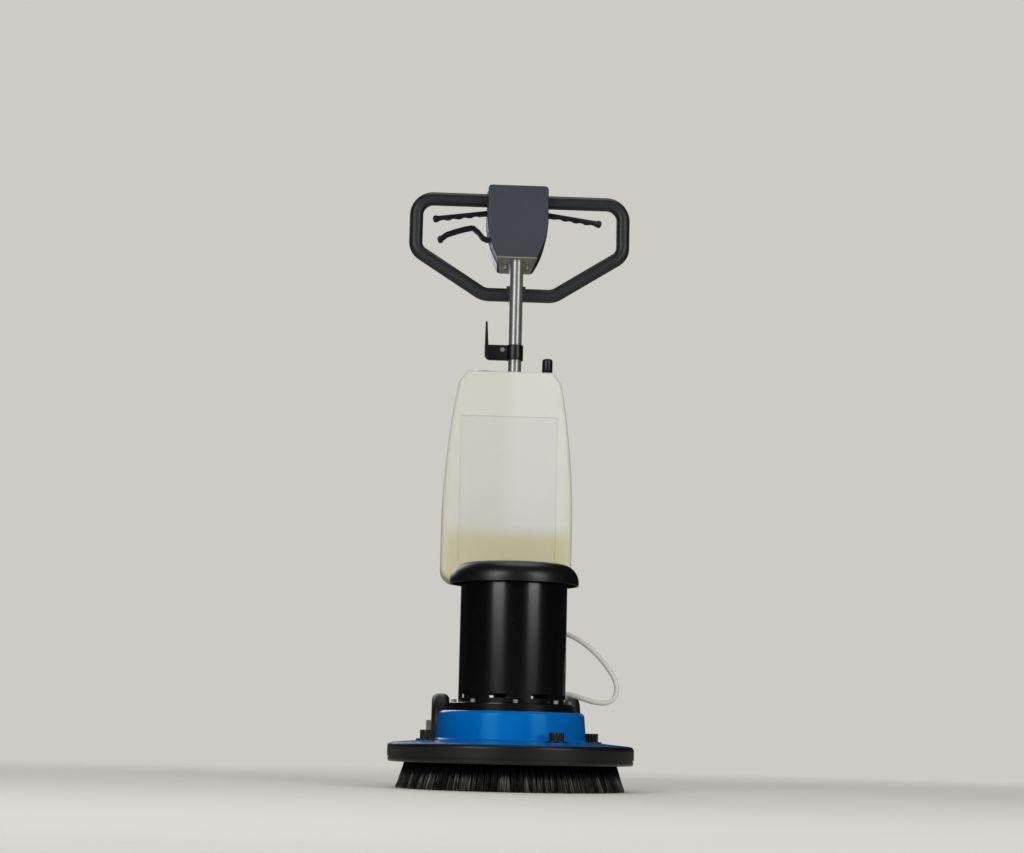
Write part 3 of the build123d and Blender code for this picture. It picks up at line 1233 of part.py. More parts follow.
with BuildPart() as hose_inlet:
    with BuildSketch(Plane.XY.offset(KNOB_SEAT)):
        with Locations((INLET_X, INLET_Y)):
            Circle(INLET_BOSS_RADIUS)
    extrude(amount=INLET_BOSS_HEIGHT)
    with BuildSketch(Plane.XY.offset(KNOB_SEAT - KNOB_STUD_LENGTH)):
        with Locations((INLET_X, INLET_Y)):
            Circle(HOSE_RADIUS)
    extrude(amount=KNOB_STUD_LENGTH)
    with BuildSketch(Plane.XY.offset(KNOB_SEAT - KNOB_STUD_LENGTH)):
        with Locations((INLET_X, INLET_Y)):
            Circle(HOSE_BORE_RADIUS)
    extrude(amount=KNOB_STUD_LENGTH + INLET_BOSS_HEIGHT, mode=Mode.SUBTRACT)
finish(hose_inlet, "hose_inlet")


def bend_radii(route, share):
    """Return the arc radius at each inner point of a route: share of the shorter run."""
    radii = []
    for before, corner, after in zip(route, route[1:], route[2:]):
        run_in = Vector(*corner) - Vector(*before)
        run_out = Vector(*after) - Vector(*corner)
        half_turn = math.radians(run_in.get_angle(run_out) / 2)
        radii.append(share * min(run_in.length, run_out.length) / math.tan(half_turn))
    return radii


hose_route = [
    (VALVE_X, VALVE_Y, NOZZLE_BOTTOM),
    *HOSE_POINTS,
    (INLET_X, INLET_Y, INLET_TOP),
]
hose_radii = bend_radii(hose_route, HOSE_RUN_SHARE)
print("hose bend radii:", [round(radius, 1) for radius in hose_radii])

with BuildPart() as solution_hose:
    with BuildLine() as hose_path:
        FilletPolyline(*hose_route, radius=hose_radii)
    with BuildSketch(Plane(origin=hose_path.line @ 0, z_dir=hose_path.line % 0)):
        Circle(HOSE_RADIUS)
        Circle(HOSE_BORE_RADIUS, mode=Mode.SUBTRACT)
    sweep()
hose_length = sum(edge.length for edge in hose_path.edges())
hose_section = math.pi * (HOSE_RADIUS**2 - HOSE_BORE_RADIUS**2)
hose_volume_ratio = solution_hose.part.volume / (hose_section * hose_length)
print("hose length:", round(hose_length, 1))
print("hose volume over section times length:", round(hose_volume_ratio, 4))
finish(solution_hose, "solution_hose")

# ---------------------------------------------------------------- cable hook

with BuildPart() as cable_hook:
    with BuildSketch(Plane.XY.offset(HOOK_BOTTOM)):
        with Locations((0, PIVOT_Y)):
            Circle(HOOK_CLAMP_RADIUS)
    extrude(amount=HOOK_HEIGHT)
    with BuildSketch(Plane.XZ.offset(-PIVOT_Y)) as hook_outline:
        with Locations((-HOOK_REACH, HOOK_BOTTOM)):
            Rectangle(HOOK_REACH - POLE_RADIUS, HOOK_HEIGHT, align=(Align.MIN, Align.MIN))
        low_corner = hook_outline.vertices().sort_by_distance((-HOOK_REACH, HOOK_BOTTOM))[0]
        fillet(low_corner, HOOK_CORNER_RADIUS)
        Polygon(
            (-HOOK_REACH, HOOK_BOTTOM + HOOK_CORNER_RADIUS),
            (-HOOK_REACH + HOOK_PRONG_WIDTH, HOOK_BOTTOM + HOOK_CORNER_RADIUS),
            (-HOOK_REACH + HOOK_PRONG_TIP_INSET + HOOK_PRONG_TIP_WIDTH, HOOK_BOTTOM + HOOK_PRONG_HEIGHT),
            (-HOOK_REACH + HOOK_PRONG_TIP_INSET, HOOK_BOTTOM + HOOK_PRONG_HEIGHT),
            align=None,
        )
    extrude(amount=HOOK_THICKNESS / 2, both=True)
    with BuildSketch(Plane.XY.offset(HOOK_BOTTOM)):
        with Locations((0, PIVOT_Y)):
            Circle(POLE_RADIUS + SEAT_GAP)
    extrude(amount=HOOK_HEIGHT, mode=Mode.SUBTRACT)
finish(cable_hook, "cable_hook")

# ---------------------------------------------------------------- loop handle

with BuildPart() as handle_loop:
    with BuildLine(Plane.XZ.offset(-LOOP_Y)) as loop_path:
        side_corner = LOOP_BOTTOM + LOOP_CORNER_HEIGHT
        right_points = [
            (LOOP_OFFSET_X + LOOP_JOINT_HALF_GAP, LOOP_TOP),
            (LOOP_OFFSET_X + LOOP_HALF_WIDTH, LOOP_TOP),
            (LOOP_OFFSET_X + LOOP_HALF_WIDTH, side_corner),
            (LOOP_OFFSET_X + LOOP_BOTTOM_HALF_WIDTH, LOOP_BOTTOM),
        ]
        left_points = [(2 * LOOP_OFFSET_X - x, z) for x, z in reversed(right_points)]
        bends = [LOOP_TOP_BEND, LOOP_SIDE_BEND, LOOP_BOTTOM_BEND]
        FilletPolyline(*right_points, *left_points, radius=bends + bends[::-1])
    with BuildSketch(Plane(origin=loop_path.line @ 0, z_dir=loop_path.line % 0)):
        Circle(LOOP_RADIUS)
        Circle(LOOP_RADIUS - LOOP_WALL, mode=Mode.SUBTRACT)
    sweep()
finish(handle_loop, "handle_loop")

with BuildPart() as loop_saddle:
    with BuildSketch(Plane.XZ.offset(-PIVOT_Y - SADDLE_FRONT)):
        Polygon(
            (-SADDLE_HALF_WIDTH, LOOP_BOTTOM + SADDLE_ABOVE),
            (-SADDLE_HALF_WIDTH, LOOP_BOTTOM),
            (-SADDLE_HALF_WIDTH + SADDLE_TAPER, LOOP_BOTTOM - SADDLE_BELOW),
            (SADDLE_HALF_WIDTH - SADDLE_TAPER, LOOP_BOTTOM - SADDLE_BELOW),
            (SADDLE_HALF_WIDTH, LOOP_BOTTOM),
            (SADDLE_HALF_WIDTH, LOOP_BOTTOM + SADDLE_ABOVE),
            align=None,
        )
    extrude(amount=SADDLE_FRONT - POLE_RADIUS - LOOP_RADIUS)
    with BuildSketch(Plane.XY.offset(LOOP_BOTTOM - 2 * SADDLE_BELOW)):
        with Locations((0, PIVOT_Y)):
            Circle(POLE_RADIUS + SEAT_GAP)
    extrude(amount=4 * SADDLE_BELOW, mode=Mode.SUBTRACT)
    with BuildSketch(Plane.YZ):
        with Locations((LOOP_Y, LOOP_BOTTOM)):
            Circle(LOOP_RADIUS + SEAT_GAP)
    extrude(amount=2 * SADDLE_HALF_WIDTH, both=True, mode=Mode.SUBTRACT)
finish(loop_saddle, "loop_saddle")

# ---------------------------------------------------------------- control box


def box_solid(front_y, rear_y, outset, front_edge_radius=0, rear_edge_radius=0):
    """Return a slice of the control box, with the edges of either end rounded."""
    low = BOX_BOTTOM - BOX_LOW_REACH
    with BuildPart() as body:
        with BuildSketch(Plane.XZ.offset(-front_y)) as outline:
            with BuildLine():
                Line((0, low), (BOX_LOW_HALF_WIDTH + outset, low))
                ThreePointArc(
                    (BOX_LOW_HALF_WIDTH + outset, low),
                    (BOX_CURVE_HALF_WIDTH + outset, BOX_BOTTOM + BOX_CURVE_HEIGHT),
                    (BOX_HALF_WIDTH + outset, BOX_BOTTOM + BOX_WAIST_HEIGHT),
                )
                Polyline(
                    (BOX_HALF_WIDTH + outset, BOX_BOTTOM + BOX_WAIST_HEIGHT),
                    (BOX_TOP_HALF_WIDTH + outset, BOX_TOP + outset),
                    (0, BOX_TOP + outset),
                )
                mirror(about=Plane.YZ)
            make_face()
            fillet(outline.vertices().group_by(Axis.Y)[-1], BOX_CORNER_RADIUS + outset)
        extrude(amount=front_y - rear_y)
        if front_edge_radius:
            fillet(body.edges().group_by(Axis.Y)[0], front_edge_radius)
        if rear_edge_radius:
            fillet(body.edges().group_by(Axis.Y)[-1], rear_edge_radius)
    return body.part


def side_slot(y, z, half_width, half_height):
    """Return the bar that cuts a lever's slot through both sides of the box."""
    with BuildPart() as bar:
        with BuildSketch(Plane.YZ):
            with Locations((y, z)):
                Rectangle(2 * half_width, 2 * half_height)
        extrude(amount=2 * BOX_HALF_WIDTH, both=True)
    return bar.part


def box_window():
    """Return the bar that opens the box's floor above the base plate."""
    with BuildPart() as window:
        with BuildSketch(PLATE_PLANE):
            Polygon(
                (-BOX_BOTTOM_HALF_WIDTH + PLATE_RIM, PLATE_RIM),
                (BOX_BOTTOM_HALF_WIDTH - PLATE_RIM, PLATE_RIM),
                (PLATE_REAR_HALF_WIDTH - PLATE_RIM, PLATE_LENGTH - PLATE_RIM),
                (-PLATE_REAR_HALF_WIDTH + PLATE_RIM, PLATE_LENGTH - PLATE_RIM),
                align=None,
            )
        extrude(amount=2 * BOX_WALL, both=True)
    return window.part


LEVER_SLOT_HALF_WIDTH = LEVER_WIDTH / 2 + LEVER_SLOT_SIDE_GAP
cover_cavity = box_solid(BOX_FRONT_Y + BOX_WALL, BOX_SEAM_Y + CUT_PAST, -BOX_WALL)
shell_cavity = box_solid(
    BOX_SEAM_Y - CUT_PAST,
    BOX_REAR_Y - BOX_WALL,
    SHELL_OUTSET - BOX_WALL,
    rear_edge_radius=BOX_REAR_EDGE_RADIUS - BOX_WALL,
)
FLOOR_PLANE = PLATE_PLANE.offset(BOX_WALL)
cover_cavity = split(cover_cavity, bisect_by=FLOOR_PLANE, keep=Keep.TOP)
shell_cavity = split(shell_cavity, bisect_by=FLOOR_PLANE, keep=Keep.TOP)
switch_slot = side_slot(
    SWITCH_LEVER_Y, SWITCH_LEVER_Z, LEVER_SLOT_HALF_WIDTH, LEVER_SLOT_HALF_HEIGHT
)
release_slot = split(
    side_slot(
        PIVOT_Y, RELEASE_LEVER_Z + RELEASE_SLOT_RISE, LEVER_SLOT_HALF_WIDTH, LEVER_SLOT_HALF_HEIGHT
    ),
    bisect_by=Plane.YZ,
    keep=Keep.BOTTOM,
)
floor_window = box_window()

with BuildPart() as box_cover:
    add(box_solid(BOX_FRONT_Y, BOX_SEAM_Y, 0, front_edge_radius=BOX_EDGE_RADIUS))
    split(bisect_by=PLATE_PLANE, keep=Keep.TOP)
    add(cover_cavity, mode=Mode.SUBTRACT)
    add(floor_window, mode=Mode.SUBTRACT)
    add(switch_slot, mode=Mode.SUBTRACT)
    add(release_slot, mode=Mode.SUBTRACT)
    with BuildSketch(Plane.YZ):
        with Locations((LOOP_Y, LOOP_TOP)):
            Circle(LOOP_RADIUS + SEAT_GAP)
    extrude(amount=2 * BOX_HALF_WIDTH, both=True, mode=Mode.SUBTRACT)
finish(box_cover, "box_cover")

with BuildPart() as box_shell:
    add(box_solid(BOX_SEAM_Y, BOX_REAR_Y, SHELL_OUTSET, rear_edge_radius=BOX_REAR_EDGE_RADIUS))
    split(bisect_by=PLATE_PLANE, keep=Keep.TOP)
    add(shell_cavity, mode=Mode.SUBTRACT)
    add(floor_window, mode=Mode.SUBTRACT)
    add(switch_slot, mode=Mode.SUBTRACT)
    with BuildSketch(Plane.YZ):
        with Locations((LOOP_Y, LOOP_TOP)):
            Circle(LOOP_RADIUS + SEAT_GAP)
    extrude(amount=2 * BOX_HALF_WIDTH, both=True, mode=Mode.SUBTRACT)
finish(box_shell, "box_shell")

with BuildPart() as box_base_plate:
    with BuildSketch(PLATE_PLANE):
        Polygon(
            (-BOX_BOTTOM_HALF_WIDTH, 0),
            (BOX_BOTTOM_HALF_WIDTH, 0),
            (PLATE_REAR_HALF_WIDTH, PLATE_LENGTH),
            (-PLATE_REAR_HALF_WIDTH, PLATE_LENGTH),
            align=None,
        )
        with Locations((0, (PIVOT_Y - BOX_FRONT_Y) / PLATE_NORMAL[2])):
            Circle(LOCK_ROD_RADIUS + LOCK_ROD_HOLE_GAP, mode=Mode.SUBTRACT)
        with Locations(*GLAND_POINTS):
            Circle(GLAND_NECK_RADIUS + SEAT_GAP, mode=Mode.SUBTRACT)
    extrude(amount=-PLATE_THICKNESS)
    with BuildSketch(Plane.XZ.offset(-PIVOT_Y - POLE_RADIUS)):
        Polygon(
            (-GUSSET_TOP_HALF_WIDTH, BOX_BOTTOM),
            (GUSSET_TOP_HALF_WIDTH, BOX_BOTTOM),
            (GUSSET_LOW_HALF_WIDTH, BOX_BOTTOM - GUSSET_HEIGHT),
            (-GUSSET_LOW_HALF_WIDTH, BOX_BOTTOM - GUSSET_HEIGHT),
            align=None,
        )
    extrude(amount=-GUSSET_THICKNESS)
    split(bisect_by=PLATE_PLANE, keep=Keep.BOTTOM)
finish(box_base_plate, "box_base_plate")

with BuildPart() as cord_glands:
    with BuildSketch(PLATE_PLANE.offset(-PLATE_THICKNESS)):
        with Locations(*GLAND_POINTS):
            Circle(GLAND_RADIUS)
    extrude(amount=-GLAND_LENGTH)
    with BuildSketch(PLATE_PLANE.offset(-PLATE_THICKNESS)):
        with Locations(*GLAND_POINTS):
            Circle(GLAND_NECK_RADIUS)
    extrude(amount=PLATE_THICKNESS + GLAND_NUT_HEIGHT)
    with BuildSketch(PLATE_PLANE):
        with Locations(*GLAND_POINTS):
            RegularPolygon(GLAND_RADIUS, 6)
    extrude(amount=GLAND_NUT_HEIGHT)
    with BuildSketch(PLATE_PLANE.offset(-PLATE_THICKNESS - GLAND_LENGTH)):
        with Locations(*GLAND_POINTS):
            Circle(GLAND_BORE_RADIUS)
    extrude(amount=PLATE_THICKNESS + GLAND_LENGTH + GLAND_NUT_HEIGHT, mode=Mode.SUBTRACT)
finish(cord_glands, "cord_glands")

with BuildPart() as switch_block:
    with BuildSketch(Plane.XZ.offset(-BOX_REAR_Y + BOX_WALL)):
        with Locations((SWITCH_SIZE[0] / 2, BOX_TOP - SWITCH_Z_DROP)):
            Rectangle(SWITCH_SIZE[0], SWITCH_SIZE[2])
    extrude(amount=SWITCH_SIZE[1])
finish(switch_block, "switch_block")

with BuildPart() as run_capacitor:
    with BuildSketch(PLATE_PLANE.offset(BOX_WALL + CAPACITOR_FOOT_GAP)):
        with Locations((CAPACITOR_X, PLATE_LENGTH - CAPACITOR_REAR_INSET)):
            Circle(CAPACITOR_RADIUS)
    extrude(amount=CAPACITOR_HEIGHT)
    fillet(run_capacitor.edges().group_by(Axis.Z)[-1], BOX_WALL)
finish(run_capacitor, "run_capacitor")

with BuildPart() as handle_screws:
    for drop in COVER_SCREW_DROPS:
        with BuildSketch(Plane.XZ.offset(-BOX_REAR_Y)):
            with Locations(
                (-COVER_SCREW_X, BOX_TOP - drop),
                (COVER_SCREW_X, BOX_TOP - drop),
            ):
                Circle(COVER_SCREW_RADIUS)
        extrude(amount=-COVER_SCREW_HEAD)
    with BuildSketch(Plane.XZ.offset(-PIVOT_Y + HOOK_THICKNESS / 2)):
        with Locations((HOOK_SCREW_X, HOOK_BOTTOM + HOOK_HEIGHT - HOOK_SCREW_DROP)):
            Circle(HOOK_SCREW_RADIUS)
    extrude(amount=COVER_SCREW_HEAD)
finish(handle_screws, "handle_screws")

# ---------------------------------------------------------------- levers

PIN_END_GAP = SEAT_GAP
PIN_LENGTH = BOX_REAR_Y - BOX_FRONT_Y - 2 * BOX_WALL - 2 * PIN_END_GAP

with BuildPart() as lever_pins:
    with BuildSketch(Plane.XZ.offset(-BOX_FRONT_Y - BOX_WALL - PIN_END_GAP)):
        with Locations(
            (-SWITCH_LEVER_PIVOT_X, SWITCH_LEVER_Z),
            (SWITCH_LEVER_PIVOT_X, SWITCH_LEVER_Z),
            (RELEASE_PIVOT_X, RELEASE_LEVER_Z),
        ):
            Circle(LEVER_PIN_RADIUS)
    extrude(amount=-PIN_LENGTH)
finish(lever_pins, "lever_pins")

SWITCH_TIP = (-SWITCH_LEVER_REACH, SWITCH_LEVER_Z - SWITCH_LEVER_TIP_DROP)
SWITCH_ROOT = (-SWITCH_LEVER_PIVOT_X, SWITCH_LEVER_Z)

with BuildPart() as left_switch_lever:
    with BuildSketch(Plane.XZ.offset(-SWITCH_LEVER_Y)) as blade:
        with BuildLine():
            Line(SWITCH_ROOT, SWITCH_TIP)
        trace(line_width=LEVER_THICKNESS)
        lever_slope = SWITCH_LEVER_TIP_DROP / (SWITCH_LEVER_REACH - SWITCH_LEVER_PIVOT_X)
        scallop_drop = LEVER_THICKNESS / 2 + LEVER_SCALLOP_RADIUS - LEVER_SCALLOP_DEPTH
        for index in range(LEVER_SCALLOP_COUNT):
            reach = LEVER_SCALLOP_START + index * LEVER_SCALLOP_PITCH
            scallop_x = -SWITCH_LEVER_PIVOT_X - reach
            scallop_z = SWITCH_LEVER_Z - lever_slope * reach - scallop_drop
            with Locations((scallop_x, scallop_z)):
                Circle(LEVER_SCALLOP_RADIUS, mode=Mode.SUBTRACT)
    extrude(amount=LEVER_WIDTH / 2, both=True)
    with BuildSketch(Plane.XZ.offset(-SWITCH_LEVER_Y)):
        with Locations(SWITCH_TIP):
            Circle(LEVER_BALL_RADIUS)
        with Locations(SWITCH_ROOT):
            Circle(LEVER_BOSS_RADIUS)
    extrude(amount=LEVER_WIDTH / 2, both=True)
    with BuildSketch(Plane.XZ.offset(-SWITCH_LEVER_Y)):
        with Locations(SWITCH_ROOT):
            Circle(LEVER_PIN_RADIUS + RUNNING_GAP)
    extrude(amount=LEVER_WIDTH, both=True, mode=Mode.SUBTRACT)
finish(left_switch_lever, "left_switch_lever")

with BuildPart() as right_switch_lever:
    mirror(left_switch_lever.part, about=Plane.YZ)
finish(right_switch_lever, "right_switch_lever")

with BuildPart() as release_lever:
    with BuildSketch(Plane.XZ.offset(-PIVOT_Y)):
        with BuildLine():
            FilletPolyline(
                (RELEASE_PIVOT_X, RELEASE_LEVER_Z),
                *[(x, RELEASE_LEVER_Z + rise) for x, rise in RELEASE_LEVER_POINTS],
                radius=RELEASE_LEVER_BEND,
            )
        trace(line_width=LEVER_THICKNESS)
        with Locations((RELEASE_PIVOT_X, RELEASE_LEVER_Z)):
            Circle(LEVER_BOSS_RADIUS)
        tip_x, tip_rise = RELEASE_LEVER_POINTS[-1]
        with Locations((tip_x, RELEASE_LEVER_Z + tip_rise)):
            Circle(LEVER_BALL_RADIUS)
    extrude(amount=LEVER_WIDTH / 2, both=True)
    with BuildSketch(Plane.XZ.offset(-PIVOT_Y)):
        with Locations((RELEASE_PIVOT_X, RELEASE_LEVER_Z)):
            Circle(LEVER_PIN_RADIUS + RUNNING_GAP)
    extrude(amount=LEVER_WIDTH, both=True, mode=Mode.SUBTRACT)
    with BuildSketch(Plane.XY.offset(RELEASE_LEVER_Z - LEVER_THICKNESS)):
        with Locations((0, PIVOT_Y)):
            Circle(LOCK_ROD_RADIUS + LEVER_ROD_GAP)
    extrude(amount=2 * LEVER_THICKNESS, mode=Mode.SUBTRACT)
finish(release_lever, "release_lever")
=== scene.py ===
"""Visual model of an upright single-disc floor machine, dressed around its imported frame.

Lengths are metres. +Z is up, the origin is on the floor under the motor shaft, and the operator
stands at +Y.
"""

from __future__ import annotations

import json
import logging
import math
import random
from dataclasses import dataclass, field
from enum import Enum
from typing import Iterable, Sequence

import bpy
from mathutils import Matrix, Vector

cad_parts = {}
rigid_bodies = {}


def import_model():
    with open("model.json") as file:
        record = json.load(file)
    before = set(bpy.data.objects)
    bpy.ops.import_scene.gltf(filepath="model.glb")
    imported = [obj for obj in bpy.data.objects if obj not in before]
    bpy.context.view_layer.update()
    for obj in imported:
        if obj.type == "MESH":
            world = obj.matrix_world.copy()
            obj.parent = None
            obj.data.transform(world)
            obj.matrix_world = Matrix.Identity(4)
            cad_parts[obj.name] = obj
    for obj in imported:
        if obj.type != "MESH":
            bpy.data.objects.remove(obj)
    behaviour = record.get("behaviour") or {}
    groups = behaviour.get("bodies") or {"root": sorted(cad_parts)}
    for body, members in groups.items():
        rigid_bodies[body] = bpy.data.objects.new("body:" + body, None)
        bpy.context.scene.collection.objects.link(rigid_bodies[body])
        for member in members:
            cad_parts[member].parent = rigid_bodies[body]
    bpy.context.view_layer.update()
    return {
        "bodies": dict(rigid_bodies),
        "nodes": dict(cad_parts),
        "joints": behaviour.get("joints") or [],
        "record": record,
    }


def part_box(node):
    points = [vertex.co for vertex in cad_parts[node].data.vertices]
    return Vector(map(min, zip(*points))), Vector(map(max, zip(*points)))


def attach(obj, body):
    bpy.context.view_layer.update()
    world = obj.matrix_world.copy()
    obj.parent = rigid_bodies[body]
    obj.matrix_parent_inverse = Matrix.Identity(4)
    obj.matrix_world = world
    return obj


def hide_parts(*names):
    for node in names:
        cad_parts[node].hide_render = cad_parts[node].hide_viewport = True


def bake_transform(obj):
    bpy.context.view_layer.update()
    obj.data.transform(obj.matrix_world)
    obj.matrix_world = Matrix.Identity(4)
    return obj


LOG = logging.getLogger("floor_machine")
STRAND_TONE = "strand_tone"

# How copied CAD nodes are cleaned and rounded: a distance, two angles in degrees and steps.
MERGE_DISTANCE = 0.00001
FLAT_ANGLE = 1.0
SMOOTH_ANGLE = 35.0
EDGE_STEPS = 3

Point = tuple[float, float, float]
Colour = tuple[float, float, float]
Tree = bpy.types.NodeTree
Node = bpy.types.Node
Socket = bpy.types.NodeSocket


class Body(Enum):
    """Rigid bodies of the machine that new pieces ride on."""

    ROOT = "root"
    BRUSH = "brush"
    HANDLE = "handle"
    LEFT_SWITCH = "left_switch"
    RIGHT_SWITCH = "right_switch"
    RELEASE = "release"
    VALVE = "valve"


# ---------------------------------------------------------------- shader groups

# The swell's noise is this share of the pits' scale.
SWELL_SCALE = 0.35
SWELL_DETAIL = 3.0
DRIFT_DETAIL = 6.0
DRIFT_ROUGHNESS = 0.62
# Noise from the first value to the second goes from the base to the shade.
DRIFT_RANGE = (0.36, 0.68)
SCUFF_DETAIL = 9.0
SCUFF_NOISE_ROUGHNESS = 0.7
# Noise above this less the coverage starts to be a scuff, and is a full one at the second value.
SCUFF_START = 0.72
SCUFF_FULL = 0.8
# A scuff adds this much, times its strength, to a finish's roughness.
SCUFF_ROUGHENING = 0.5


def new_group(
    name: str, inputs: Sequence[tuple[str, str, object]], output: tuple[str, str]
) -> Tree:
    """Make an empty shader group with its sockets.

    Args:
        name: the group's name.
        inputs: socket name, socket type and default value of each input.
        output: name and type of the one output.

    Returns:
        The new node group.
    """
    group = bpy.data.node_groups.new(name, "ShaderNodeTree")
    for socket, kind, default in inputs:
        made = group.interface.new_socket(socket, in_out="INPUT", socket_type=kind)
        if default is not None:
            made.default_value = default
    group.interface.new_socket(output[0], in_out="OUTPUT", socket_type=output[1])
    group.nodes.new("NodeGroupInput").name = "in"
    group.nodes.new("NodeGroupOutput").name = "out"
    return group


def grain_group() -> Tree:
    """Build the fine moulded or cast grain, a height from two sizes of noise.

    Returns:
        A group that turns Vector and Scale into a Height.
    """
    group = new_group(
        "surface_grain",
        [("Vector", "NodeSocketVector", None), ("Scale", "NodeSocketFloat", 900.0)],
        ("Height", "NodeSocketFloat"),
    )
    source, sink = group.nodes["in"], group.nodes["out"]
    pits = group.nodes.new("ShaderNodeTexVoronoi")
    pits.feature = "SMOOTH_F1"
    swell = group.nodes.new("ShaderNodeTexNoise")
    swell.inputs["Detail"].default_value = SWELL_DETAIL
    swell_scale = group.nodes.new("ShaderNodeMath")
    swell_scale.operation = "MULTIPLY"
    swell_scale.inputs[1].default_value = SWELL_SCALE
    total = group.nodes.new("ShaderNodeMath")
    total.operation = "ADD"
    for texture in (pits, swell):
        group.links.new(source.outputs["Vector"], texture.inputs["Vector"])
    group.links.new(source.outputs["Scale"], pits.inputs["Scale"])
    group.links.new(source.outputs["Scale"], swell_scale.inputs[0])
    group.links.new(swell_scale.outputs[0], swell.inputs["Scale"])
    group.links.new(pits.outputs["Distance"], total.inputs[0])
    group.links.new(swell.outputs["Fac"], total.inputs[1])
    group.links.new(total.outputs[0], sink.inputs["Height"])
    return group


def drift_group() -> Tree:
    """Build the slow drift between a finish's own colour and its shade.

    Returns:
        A group that turns Vector, Scale, Base and Shade into a Color.
    """
    group = new_group(
        "colour_drift",
        [
            ("Vector", "NodeSocketVector", None),
            ("Scale", "NodeSocketFloat", 9.0),
            ("Base", "NodeSocketColor", (0.5, 0.5, 0.5, 1.0)),
            ("Shade", "NodeSocketColor", (0.4, 0.4, 0.4, 1.0)),
        ],
        ("Color", "NodeSocketColor"),
    )
    source, sink = group.nodes["in"], group.nodes["out"]
    noise = group.nodes.new("ShaderNodeTexNoise")
    noise.inputs["Detail"].default_value = DRIFT_DETAIL
    noise.inputs["Roughness"].default_value = DRIFT_ROUGHNESS
    spread = group.nodes.new("ShaderNodeMapRange")
    spread.inputs["From Min"].default_value = DRIFT_RANGE[0]
    spread.inputs["From Max"].default_value = DRIFT_RANGE[1]
    mix = group.nodes.new("ShaderNodeMix")
    mix.data_type = "RGBA"
    group.links.new(source.outputs["Vector"], noise.inputs["Vector"])
    group.links.new(source.outputs["Scale"], noise.inputs["Scale"])
    group.links.new(noise.outputs["Fac"], spread.inputs["Value"])
    group.links.new(spread.outputs["Result"], mix.inputs["Factor"])
    group.links.new(source.outputs["Base"], mix.inputs["A"])
    group.links.new(source.outputs["Shade"], mix.inputs["B"])
    group.links.new(mix.outputs["Result"], sink.inputs["Color"])
    return group


def scuff_group() -> Tree:
    """Build the mask of handling marks: sparse, stretched flecks.

    Returns:
        A group that turns Vector, Scale and Coverage into a Mask.
    """
    group = new_group(
        "handling_scuffs",
        [
            ("Vector", "NodeSocketVector", None),
            ("Scale", "NodeSocketFloat", 60.0),
            ("Coverage", "NodeSocketFloat", 0.1),
        ],
        ("Mask", "NodeSocketFloat"),
    )
    source, sink = group.nodes["in"], group.nodes["out"]
    flecks = group.nodes.new("ShaderNodeTexNoise")
    flecks.inputs["Detail"].default_value = SCUFF_DETAIL
    flecks.inputs["Roughness"].default_value = SCUFF_NOISE_ROUGHNESS
    start = group.nodes.new("ShaderNodeMath")
    start.operation = "SUBTRACT"
    start.inputs[0].default_value = SCUFF_START
    ramp = group.nodes.new("ShaderNodeMapRange")
    ramp.inputs["From Max"].default_value = SCUFF_FULL
    group.links.new(source.outputs["Vector"], flecks.inputs["Vector"])
    group.links.new(source.outputs["Scale"], flecks.inputs["Scale"])
    group.links.new(source.outputs["Coverage"], start.inputs[1])
    group.links.new(flecks.outputs["Fac"], ramp.inputs["Value"])
    group.links.new(start.outputs[0], ramp.inputs["From Min"])
    group.links.new(ramp.outputs["Result"], sink.inputs["Mask"])
    return group


# ---------------------------------------------------------------- finishes


